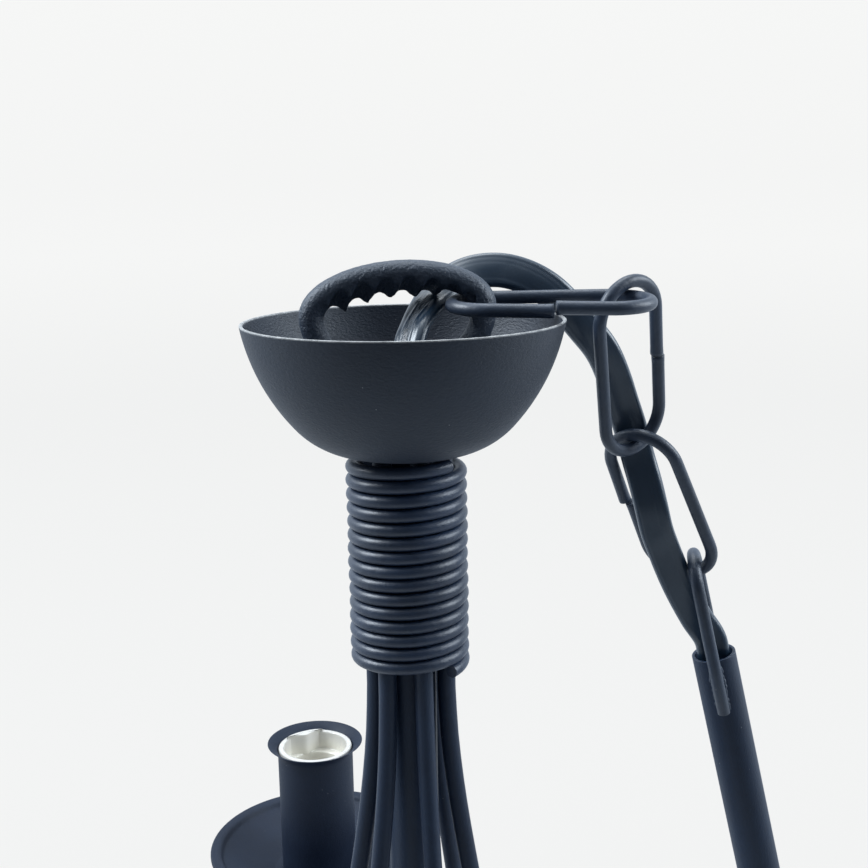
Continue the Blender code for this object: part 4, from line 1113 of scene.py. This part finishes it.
def make_sleeves():
    """Tall cups with a flared mouth."""
    r, wall, flare, high, up = 22.3 * MM, 0.9 * MM, 28.3 * MM, 81.7 * MM, 8.4 * MM
    shares = [i / 14 for i in range(14, -1, -1)]
    outer = [(r + (flare - r) * t**2.1, high - up + up * t**0.85) for t in shares]
    inner = [(x - wall, z) for x, z in reversed(outer)]
    floor = [(r, 0.0), (5.1 * MM, 0.0), (5.1 * MM, wall), (r - wall, wall)]
    ribs = [(r, high - up - 10 * MM - k * 6 * MM) for k in range(10)]
    profile = outer + ribs + floor + inner
    place = Matrix.Translation(CANDLE + UP * (SEAT + 1.5 * MM))
    mesh = turned("sleeves", eased(profile, 0.28 * MM, True, 3), 72, place, closed=True)
    six("sleeves", mesh, "sheet", "black_coat", "candle_sleeve")


def make_holders():
    """Glazed cup with a wide recess, a thick lip and a blank tab at one side of the recess."""
    lip, r, high, wall = 21.8 * MM, 20.6 * MM, 44.8 * MM, 3.1 * MM
    recess, ledge, bore, floor = lip - wall, high - 11 * MM, 14.2 * MM, 8 * MM
    profile = [
        (0.0, floor),
        (bore, floor),
        (bore, ledge),
        (recess, ledge),
        (recess, high),
        (lip, high),
        (lip, high - 4 * MM),
        (r, high - 5.2 * MM),
        (r, 0.0),
        (5.1 * MM, 0.0),
        (5.1 * MM, 4.3 * MM),
        (0.0, 4.3 * MM),
    ]
    place = Matrix.Translation(CANDLE + UP * HOLDER_FOOT)
    cup = turned("holders", eased(profile, 0.9 * MM), 72, place)
    # The tab's outline as angles, reaches and the middle of its thickness. Its top is soft.
    turn = math.radians(118)
    edge, half = recess + 0.8 * MM, math.radians(38)
    spread = [half * (k / 12 - 1) for k in range(25)]
    outline = [(a, edge, edge - 3 * MM * eased_share(1.0 - abs(a) / half)) for a in spread]
    for a, _, middle in outline[-2:0:-1]:
        outline.append((a, 2 * middle - edge, middle))
    rings = []
    for rise, share in ((-0.5, 0.0), (11.6, 0.0), (12.0, 0.04), (12.2, 0.12), (12.3, 0.25)):
        inset = [(a, reach + (middle - reach) * share) for a, reach, middle in outline]
        height = ledge + rise * MM
        rings.append([place @ polar(reach, turn + a, height) for a, reach in inset])
    mesh = joined_meshes("holders", [cup, skin("tab", rings)])
    six("holders", mesh, "porcelain", "porcelain", "lamp_holder")


def make_shells():
    """Threaded liners: a helix rolled in thin sheet."""
    outer, wall, high, pitch, depth = 13.9 * MM, 0.3 * MM, 18 * MM, 2.8 * MM, 0.42 * MM
    foot = HOLDER_FOOT + 8.3 * MM
    sides, rows = 56, 54
    points, faces = [], []
    for layer in range(2):
        for i in range(rows + 1):
            z = high * i / rows
            fade = min(1.0, z / (2 * MM), (high - z) / (1.2 * MM))
            for turn in round_turn(sides):
                wave = 0.5 + 0.5 * math.cos(TAU * (z / pitch) - turn)
                r = outer - depth * wave * fade - wall * layer
                points.append(CANDLE + polar(r, turn, foot + z))
    layer_size = (rows + 1) * sides
    pairs = [(i * sides, (i + 1) * sides) for i in range(rows)]
    pairs += [(layer_size + one, layer_size + two) for one, two in pairs]
    pairs += [(i * sides, layer_size + i * sides) for i in (0, rows)]
    for one, two in pairs:
        for k in range(sides):
            j = (k + 1) % sides
            faces.append((one + k, one + j, two + j, two + k))
    mesh = mesh_of("shells", points, faces)
    six("shells", mesh, "shell", "bright_steel", "screw_shell")


def make_contacts():
    """Bent brass strips on the bores' floors."""
    reach, rise, thick, width = 9 * MM, 6 * MM, 0.7 * MM, 5 * MM
    spine = [
        (-reach, 0.0),
        (-reach * 0.4, 0.0),
        (reach / 3, 0.0),
        (reach * 0.47, rise * 0.12),
        (reach / 2, rise / 3),
        (reach * 0.36, rise * 0.7),
        (0.0, rise),
        (-reach * 0.2, rise * 0.95),
        (-reach / 3, rise * 0.8),
    ]
    line = [p for p, _ in smooth_run([Vector((x, 0.0, z)) for x, z in spine], 40)]
    below = [(a, 0.0) for a in (-1, -0.86, 0.86, 1)]
    section = below + [(a, 1.0) for a, _ in reversed(below)]
    rows = []
    for i, p in enumerate(line):
        way = (line[min(i + 1, 39)] - line[max(i - 1, 0)]).normalized()
        up = Vector((-way.z, 0.0, way.x))
        narrow = 1.0 - 0.35 * max(0.0, (i - 26) / 13)
        half = width / 2 * narrow
        ring = []
        for a, b in section:
            inset = 0.12 * MM if abs(a) == 1 else 0.0
            lift = thick * b + (inset if b == 0 else -inset)
            ring.append(p + Vector((0.0, half * a, 0.0)) + up * lift)
        rows.append(ring)
    place = Matrix.Translation(CANDLE + UP * (HOLDER_FOOT + 8.3 * MM))
    mesh = skin("contacts", [[place @ p for p in ring] for ring in rows])
    six("contacts", mesh, "brass", "bright_steel", "centre_contact")


# Hanging loop


# The middle line is an oval, flatter above than below. The bar's sizes are halves.
LOOP_REACH = 24.1 * MM
LOOP_RISE = 10.7 * MM
LOOP_FALL = 18.5 * MM
BAR_THICK = 3.55 * MM
BAR_DEEP = 4.2 * MM
FULLER = 5.0 * MM
NOTCH_PITCH = 6.4 * MM
NOTCH_SHIFT = 2.4 * MM


def inner_edge(x):
    """The height of the upper bar's inner side at this place."""
    return LOOP_RISE * math.sqrt(max(0.0, 1.0 - (x / LOOP_REACH) ** 2)) - BAR_THICK


def fuller(x):
    """How far the notched part stands in before it is cut."""
    rise, fall = (x + 21.5 * MM) / (4.5 * MM), (14.6 * MM - x) / (2.6 * MM)
    return FULLER * eased_share(min(rise, fall))


def wave_outline():
    """A round arch between two round teeth, open below."""
    arch, tooth = 2.0 * MM, 1.33 * MM
    half = NOTCH_PITCH / 2
    meet = math.asin(half / (arch + tooth) * 0.96)
    fall = arch + tooth - (arch + tooth) * math.cos(meet)
    turns = [meet * k / 8 for k in range(9)]
    left = [(-half + tooth * math.sin(a), tooth * (1 - math.cos(a)) - fall) for a in turns]
    over = arc(0.0, -arch, arch, math.pi / 2 + meet, math.pi / 2, 10)
    right = [(-a, b) for a, b in reversed(left)]
    line = left + over + [(-a, b) for a, b in reversed(over[:-1])] + right
    return [*line, (half, -12 * MM), (-half, -12 * MM)]


def arch_outline(deep):
    """A half-round arch with straight sides."""
    r = 2.3 * MM
    return [*arc(0.0, -r, r, 0.0, math.pi, 18), (-r, -r - deep), (r, -r - deep)]


def notch_tools(place):
    """Cutters for the round notches, open below. They run down towards the back."""
    # An outline, in mm its shift at the front and back and its height there over the inner side,
    # and where it begins and stops as shares of the way from front to back
    pit = arc(0.0, -2.0 * MM, 2.0 * MM, 0.0, TAU, 24)[:-1]
    spots = [(wave_outline(), 1.95, -1.15, 2.8, -2.0, -0.6, 1.6)] * 5
    spots.append((arch_outline(4 * MM), 0.7, -1.0, 2.7, -4.2, -0.6, 1.6))
    spots.append((pit, -1.4, -2.4, 2.2, -2.4, -0.6, 0.4))
    tools = []
    for number, (outline, lean, slide, rise, drop, begin, stop) in enumerate(spots, -3):
        x = NOTCH_SHIFT + number * NOTCH_PITCH
        front, back = x + lean * MM, x + slide * MM
        front = Vector((front, -BAR_DEEP, inner_edge(front) + rise * MM))
        back = Vector((back, BAR_DEEP, inner_edge(back) + drop * MM))
        pairs = [(outline, begin, stop)]
        if number < 2:
            pairs.append((arch_outline(0.4 * MM), -0.6, 0.16))
        for shape, *shares in pairs:
            rings = []
            for share in shares:
                middle = front.lerp(back, share)
                rings.append([place @ (middle + Vector((a, 0.0, b))) for a, b in shape])
            tools.append(skin("notch", rings))
    return tools


def make_loop():
    """The cast ring, its neck and its foot in one skin with soft inner corners."""
    tilt = Matrix.Rotation(-math.radians(3.9), 4, "Y")
    place = Matrix.Translation((-1.5 * MM, 0.0, 3.1 * MM + RIM)) @ tilt
    rings = []
    for angle in round_turn(200):
        cos, sin = math.cos(angle), math.sin(angle)
        height = LOOP_RISE if sin > 0 else LOOP_FALL
        middle = Vector((LOOP_REACH * cos, 0.0, height * sin))
        out = Vector((cos * height, 0.0, sin * LOOP_REACH)).normalized()
        more = fuller(middle.x) if sin > 0 else 0.0
        ring = []
        for turn in round_turn(32):
            side, face = math.cos(turn), math.sin(turn)
            offset = out * side * (BAR_THICK if side > 0 else BAR_THICK + more)
            flatness = 0.42 * more / FULLER if side < 0 else 0.0
            depth = BAR_DEEP * math.copysign(abs(face) ** (0.85 - flatness), face)
            ring.append(place @ (middle + offset + Vector((0.0, depth, 0.0))))
        rings.append(ring)
    ring = item_of("loop", skin("loop", rings, True))
    foot = STEM_TOP + 0.3 * MM
    neck_top = RIM + 3.1 * MM - LOOP_FALL
    profile = [
        (0.0, neck_top + 1.5 * MM),
        (3.5 * MM, neck_top + 1.5 * MM),
        (5.4 * MM, neck_top),
        (5.4 * MM, foot + 4 * MM),
        (7.0 * MM, foot + 2 * MM),
        (7.0 * MM, foot),
        (5.7 * MM, foot),
        (5.7 * MM, foot - 12 * MM),
        (0.0, foot - 12 * MM),
    ]
    neck = item_of("neck", turned("neck", profile, 40))
    tools = [item_of("notch", mesh) for mesh in notch_tools(place)]
    carved(ring, [neck], "UNION")
    carved(ring, tools)
    grain = ring.modifiers.new("grain", "REMESH")
    grain.mode = "VOXEL"
    grain.voxel_size = 0.38 * MM
    soft = ring.modifiers.new("soft", "SMOOTH")
    soft.factor = 0.5
    soft.iterations = 13
    settled(ring)
    for tool in (neck, *tools):
        bpy.data.objects.remove(tool)
    outward = [point.normal.copy() for point in ring.data.vertices]
    for point, normal in zip(ring.data.vertices, outward):
        dent = noise.noise(point.co * 330) * 0.03 * MM + noise.noise(point.co * 1100) * 0.07 * MM
        point.co += normal * dent
    ring.data.shade_smooth()
    dress(ring, "cast", "chandelier", "black_coat", "hanging_loop")


# Chain


# Each link's first end, the way along it and the way across it. Then in millimetres how far its
# cut lies from the middle, and the step between the cut's ends, across the link's face and in it.
LINKS = [
    (
        (0.013600, -0.003700, 0.476768),
        (1.0, 0.0, 0.0),
        (0.0, 0.998205, 0.059892),
        (0.0, -0.42, 0.0),
    ),
    (
        (0.062795, 0.004240, 0.481170),
        (0.109954, 0.329861, -0.937604),
        (-0.797731, -0.533426, -0.281216),
        (0.0, 0.0, 0.20),
    ),
    (
        (0.067977, 0.021699, 0.433810),
        (0.389951, 0.264967, -0.881890),
        (0.774220, -0.612822, 0.158218),
        (1.8, 0.0, -0.95),
    ),
]


def make_links():
    """Open wire links. The cut ends don't quite line up and are a little swollen."""
    bend, reach, r = 11.1 * MM, 58.5 * MM - 3.8 * MM, 1.9 * MM
    for number, (start, along, across, (slide, out, aside)) in enumerate(LINKS, 1):
        start, along, across = Vector(start), Vector(along), Vector(across)
        near, far = start + along * bend, start + along * (reach - bend)
        middle = (near + far) / 2 - across * bend - along * slide * MM
        cut = along * 0.3 * MM
        step = (along.cross(across) * out + across * aside) * MM
        points = [middle + cut - step, middle + cut * 4 - step, middle + cut * 10 - step * 0.9]
        for centre, first in ((far, -math.pi / 2), (near, math.pi / 2)):
            for i in range(25):
                angle = first + math.pi * i / 24
                way = along * math.cos(angle) + across * math.sin(angle)
                points.append(centre + way * bend)
            if centre is far:
                points += [far.lerp(near, t) + across * bend for t in (0.25, 0.5, 0.75)]
        points += [middle - cut * 10 + step * 0.9, middle - cut * 4 + step, middle - cut + step]
        swell = [1.0 + 0.035 * (i < 2 or i > len(points) - 3) for i in range(len(points))]
        mesh = wire("link", points, r, 22, widths=swell)
        body, node = f"link_{number}", f"chain_link_{number}"
        piece(f"link_{number}_wire", mesh, "link", body, "black_wire", node)


# Down rod and its bails


def bail_points(place, up):
    """The middle line of a bail: a leg beside the rod, the bend and the other leg."""
    half, reach, foot, knee = 9.3 * MM, 34 * MM, -17 * MM, 12 * MM
    leg = [(-half, foot), (-half, 0.0), (-half, knee)]
    line = leg + arc(0.0, reach - half, half, math.pi, 0.0, 32) + [(-y, z) for y, z in leg[::-1]]
    return [place @ Vector((0.0, y, z * up)) for y, z in line]


def weld_bead(place, side, up, lean, seed):
    """A lumpy bead in the corner between a bail's leg and the rod's wall."""
    off, out, first, long = 1.75 * MM, 7.35 * MM, 1.5 * MM, 15.6 * MM
    points, widths = [], []
    for i in range(34):
        t = i / 33
        wander = noise.noise(Vector((t * 9, seed, 0.0))) * 0.35 * MM
        z = -(first + long * t) * up
        points.append(place @ Vector((lean * (off + wander), side * out, z)))
        lump = 0.35 * noise.noise(Vector((t * 14, seed, 4)))
        ripple = 1.0 + 0.18 * math.sin(t * 60 + seed) + lump
        widths.append(ripple * min(1.0, 0.35 + 6 * t, 0.35 + 6 * (1 - t)))
    return wire("bead", points, 0.62 * MM, 10, flat_ends=False, widths=widths, cut=0.0)


def make_rod():
    """The tube and its two bails. The upper one is turned as in the photograph."""
    r, bore, long = 7 * MM, 6 * MM, 300 * MM
    top, foot = facing(ROD_TOP, ROD_DOWN), facing(ROD_FOOT, ROD_DOWN)
    turned_top = top @ Matrix.Rotation(math.radians(-12), 4, "Z")
    profile = [(r, 0.0), (r, -long), (bore, -long), (bore, 0.0)]
    mesh = turned("rod", eased(profile, 0.25 * MM, True), 56, top, closed=True)
    piece("rod_tube", mesh, "tube", "rod", "black_coat", "down_rod")
    for name, place, up, node in (
        ("bail_upper", turned_top, 1, "rod_bail_upper"),
        ("bail_lower", foot, -1, "rod_bail_lower"),
    ):
        leg = wire("bail", bail_points(place, up), 2 * MM, 22)
        beads = [
            weld_bead(place, side, up, lean, side * 3.1 + lean * 1.7 + up)
            for side in (-1, 1)
            for lean in (-1, 1)
        ]
        mesh = joined_meshes(name, [leg, *beads])
        piece(name, mesh, "link", "rod", "black_wire", node)


# Canopy


CANOPY_SEAT = 24.3 * MM  # just over its top, where the eye and the screws sit
SCREW_AWAY = 38 * MM
SCREW_HOLES = [(CANOPY.x, CANOPY.y + side * SCREW_AWAY, 2.3 * MM) for side in (-1, 1)]


def bored(item, holes, low, high):
    """Round holes through a piece."""
    for x, y, radius in holes:
        tool = [(0.0, high), (radius, high), (radius, low), (0.0, low)]
        tool = turned("drill", tool, 40, Matrix.Translation((x, y, 0.0)))
        carved_out(item, item_of("drill", tool))


def make_canopy():
    """The cup, with its holes for the eye, the cord and two screws."""
    high, wall, corner, r, lip = 24 * MM, 1.2 * MM, 9 * MM, 60 * MM, 4 * MM
    edge, top = r - corner, high - corner
    profile = [
        (5.0 * MM, high),
        *arc(edge, top, corner, math.pi / 2, 0.0, 16),
        (r, 0.0),
        (r - lip, 0.0),
        (r - lip, wall),
        (r - wall, wall),
        *arc(edge, top, corner - wall, 0.0, math.pi / 2, 16),
        (5.0 * MM, high - wall),
    ]
    place = Matrix.Translation(CANOPY)
    mesh = turned("canopy_cup", eased(profile, 0.3 * MM, True, 3), 120, place, closed=True)
    item = item_of("canopy_cup", mesh)
    cord_hole = (CANOPY.x - 20 * MM, CANOPY.y, 6.5 * MM)
    bored(item, [cord_hole, *SCREW_HOLES], high - 3 * MM, high + 1 * MM)
    crisp(item)
    dress(item, "sheet", "canopy", "black_coat", "ceiling_canopy")


def make_eye():
    """The ring with its collar and threaded end."""
    centre = Vector((CANOPY.x, CANOPY.y, 40 * MM))
    ways = [Vector((math.sin(angle), 0.0, math.cos(angle))) for angle in round_turn(64)]
    points = [centre + way * 11 * MM for way in ways]
    ring = wire("eye", points, 2 * MM, 20, True)
    seat, foot, crest, root = CANOPY_SEAT, 6.9 * MM, 4.7 * MM, 4.2 * MM
    profile = [(0.0, 29.6 * MM), (3.2 * MM, 29.3 * MM), (6.6 * MM, 26.3 * MM), (7 * MM, 25.8 * MM)]
    profile += [(7 * MM, seat), (crest, seat)]
    profile += ridges(crest, root, seat - 1.0 * MM, -1.0 * MM, -0.5 * MM, 16)
    profile += [(root, foot), (0.0, foot)]
    stub = turned("stub", profile, 40, Matrix.Translation(CANOPY))
    mesh = joined_meshes("eye", [ring, stub])
    piece("eye", mesh, "link", "canopy", "black_wire", "canopy_eye")


def make_nut():
    """A hexagon nut with chamfered corners."""
    bore, r, top, high = 5.0 * MM, 9 * MM, 11.7 * MM, 4.5 * MM
    flat = r * math.cos(math.pi / 6)
    rows = []
    for radius, z, hexed in (
        (bore + 0.5 * MM, high, 0),
        (flat * 0.97, high, 0),
        (r, high - 0.75 * MM, 1),
        (r, 0.75 * MM, 1),
        (flat * 0.97, 0.0, 0),
        (bore + 0.5 * MM, 0.0, 0),
        (bore, 0.5 * MM, 0),
        (bore, high - 0.5 * MM, 0),
    ):
        ring = []
        for turn in round_turn(72):
            reach = radius
            if hexed:
                away = (turn + math.pi / 6) % (math.pi / 3) - math.pi / 6
                reach = min(radius, flat / math.cos(math.pi / 6 - abs(away)))
            ring.append(CANOPY + polar(reach, turn, top - high + z))
        rows.append(ring)
    item = item_of("nut", skin("nut", rows, True))
    crisp(item, 28)
    dress(item, "zinc", "canopy", "bright_steel", "canopy_nut")


def make_strap():
    """The slotted strap across the canopy, with its edges broken."""
    wide, long, thick, low = 20 * MM, 96 * MM, 2 * MM, 12 * MM
    item = brick("strap", CANOPY + UP * (low + thick / 2), (wide, long, thick))
    depths = low - MM, low + 3 * MM
    bored(item, [(CANOPY.x, CANOPY.y, 5.0 * MM), *SCREW_HOLES], *depths)
    half, end_r = 4.5 * MM, 2.5 * MM
    outline = arc(0.0, half, end_r, 0.0, math.pi, 14) + arc(0.0, -half, end_r, math.pi, TAU, 14)
    for side in (-1, 1):
        shift = Vector((CANOPY.x, CANOPY.y + side * 22 * MM, 0.0))
        rings = [[shift + Vector((a, b, z)) for a, b in outline] for z in depths]
        carved_out(item, item_of("slot", skin("slot", rings)))
    soft_edged(item, 0.25 * MM, 2, 45)
    dress(item, "zinc", "canopy", "bright_steel", "mounting_strap")


def make_canopy_screws():
    """Long screws with tall, ridged cap heads."""
    seat, foot, cap, crest, root = CANOPY_SEAT, 8 * MM, 4.5 * MM, 2 * MM, 1.7 * MM
    pitch = 0.7 * MM
    profile = [(0.0, seat + 7 * MM), *arc(0.0, seat + 2.5 * MM, cap, math.pi / 2 - 0.1, 0.35, 10)]
    profile += [(cap, seat + 2.6 * MM)]
    profile += ridges(cap - 0.15 * MM, cap, seat + 2.2 * MM, -pitch, -0.3 * MM, 3)
    profile += [(cap, seat), (crest, seat)]
    profile += ridges(crest, root, seat - pitch, -pitch, -pitch / 2, 21)
    profile += [(root, foot), (0.0, foot)]
    for number, side in enumerate((-1, 1), 1):
        place = Matrix.Translation(CANOPY + Vector((0.0, side * SCREW_AWAY, 0.0)))
        mesh = turned("screw", profile, 36, place)
        node = f"canopy_screw_{number}"
        piece(f"cap_screw_{number}", mesh, "sheet", "canopy", "black_coat", node)


def make_block():
    """The terminal block in the bowl, with the wells of its screws."""
    foot = BUNDLE_TOP + 0.3 * MM
    centre = Vector((0.0, -16 * MM, foot + 4 * MM))
    item = brick("block", centre, (17 * MM, 10 * MM, 8 * MM))
    holes = [(k * 5.2 * MM, centre.y - 2.4 * MM, 1.5 * MM) for k in (-1, 0, 1)]
    bored(item, holes, centre.z + 2.2 * MM, centre.z + 5 * MM)
    soft_edged(item, 0.5 * MM, 3, 60)
    dress(item, "block", "chandelier", "porcelain", "junction_block")


make_bowl()
make_stem()
make_finial()
make_wrap()
make_arms()
make_pans()
make_sleeves()
make_holders()
make_shells()
make_contacts()
make_loop()
make_links()
make_rod()
make_canopy()
make_eye()
make_nut()
make_strap()
make_canopy_screws()
make_block()


# Floor, backdrop and lamps


def pale_stage():
    """A pale floor that runs up into a backdrop on every side."""
    floor = Finish("pale_floor", 0.9)
    here = floor.place()
    soft = floor.noise(here, 0.8, 2.0)
    tone = floor.mix(soft, colour(0.34, 0.345, 0.34), colour(0.38, 0.385, 0.38))
    _, y, z = floor.parts(here)
    behind = y.rising(-1.1, 0.7)
    floor.set("Base Color", floor.mix(behind, colour(0.06, 0.065, 0.075), tone))
    middle = 1.0 - abs(z - 0.5).rising(0.0, 1.1)
    bright = floor.mix(middle, colour(1.02, 1.025, 1.015), colour(0.980, 0.983, 0.976))
    bright = floor.mix(z.rising(0.0, 0.3), colour(0.935, 0.94, 0.935), bright)
    seen = floor.node("ShaderNodeLightPath", output="Is Camera Ray")
    hue = floor.mix(seen, colour(0.78, 0.88, 1.0), bright)
    glow = floor.node("ShaderNodeEmission", None, {"Color": hue, "Strength": 1.0})
    plain = Val(floor.tree, floor.shader.outputs[0])
    share = seen * 0.90 + (1.0 - seen) * (0.045 + 0.855 * behind)
    both = floor.node("ShaderNodeMixShader", None, {0: share.held(), 1: plain, 2: glow})
    floor.tree.links.new(both.socket, floor.tree.nodes["Material Output"].inputs[0])
    level, reach, bend, top = -0.0005, 2.5, 1.5, 6.0
    rows = [(0.0, level), (reach, level)]
    for turn in [math.pi / 2 * k / 12 for k in range(1, 13)]:
        rows.append((reach + bend * math.sin(turn), level + bend * (1 - math.cos(turn))))
    rows.append((reach + bend, top))
    item = item_of("floor", turned("floor", rows, 96))
    item.data.materials.append(floor.material)
    item.data.flip_normals()


def set_world():
    """Cool air light, brighter from above and behind."""
    world = bpy.data.worlds.new("room")
    scene.world = world
    world.use_nodes = True
    air = Tree(world.node_tree)
    back = air.tree.nodes["Background"]
    seen = air.node("ShaderNodeLightPath", output="Is Camera Ray")
    here = air.node("ShaderNodeTexCoord", output="Generated")
    _, back_way, up_way = air.parts(here)
    soft = 0.12 + 0.40 * back_way.rising(-0.5, 0.8) + 0.55 * up_way.rising(-0.2, 1.0)
    back.inputs["Color"].default_value = colour(0.86, 0.93, 1.0)
    air.tree.links.new((soft + seen * 0.4).socket, back.inputs["Strength"])


pale_stage()
set_world()
set_lamp("key", (-1.5, 0.15, 1.6), (0.0, 0.0, 0.3), 1.1, 36.0, (0.90, 0.95, 1.0))
set_lamp("fill", (1.6, 0.05, 1.2), (0.05, 0.0, 0.35), 1.2, 22.0, (0.88, 0.94, 1.0))
set_lamp("top", (0.0, 0.7, 2.2), (0.05, 0.05, 0.3), 1.4, 14.0, (0.95, 0.98, 1.0))
scene.view_settings.view_transform = "Standard"
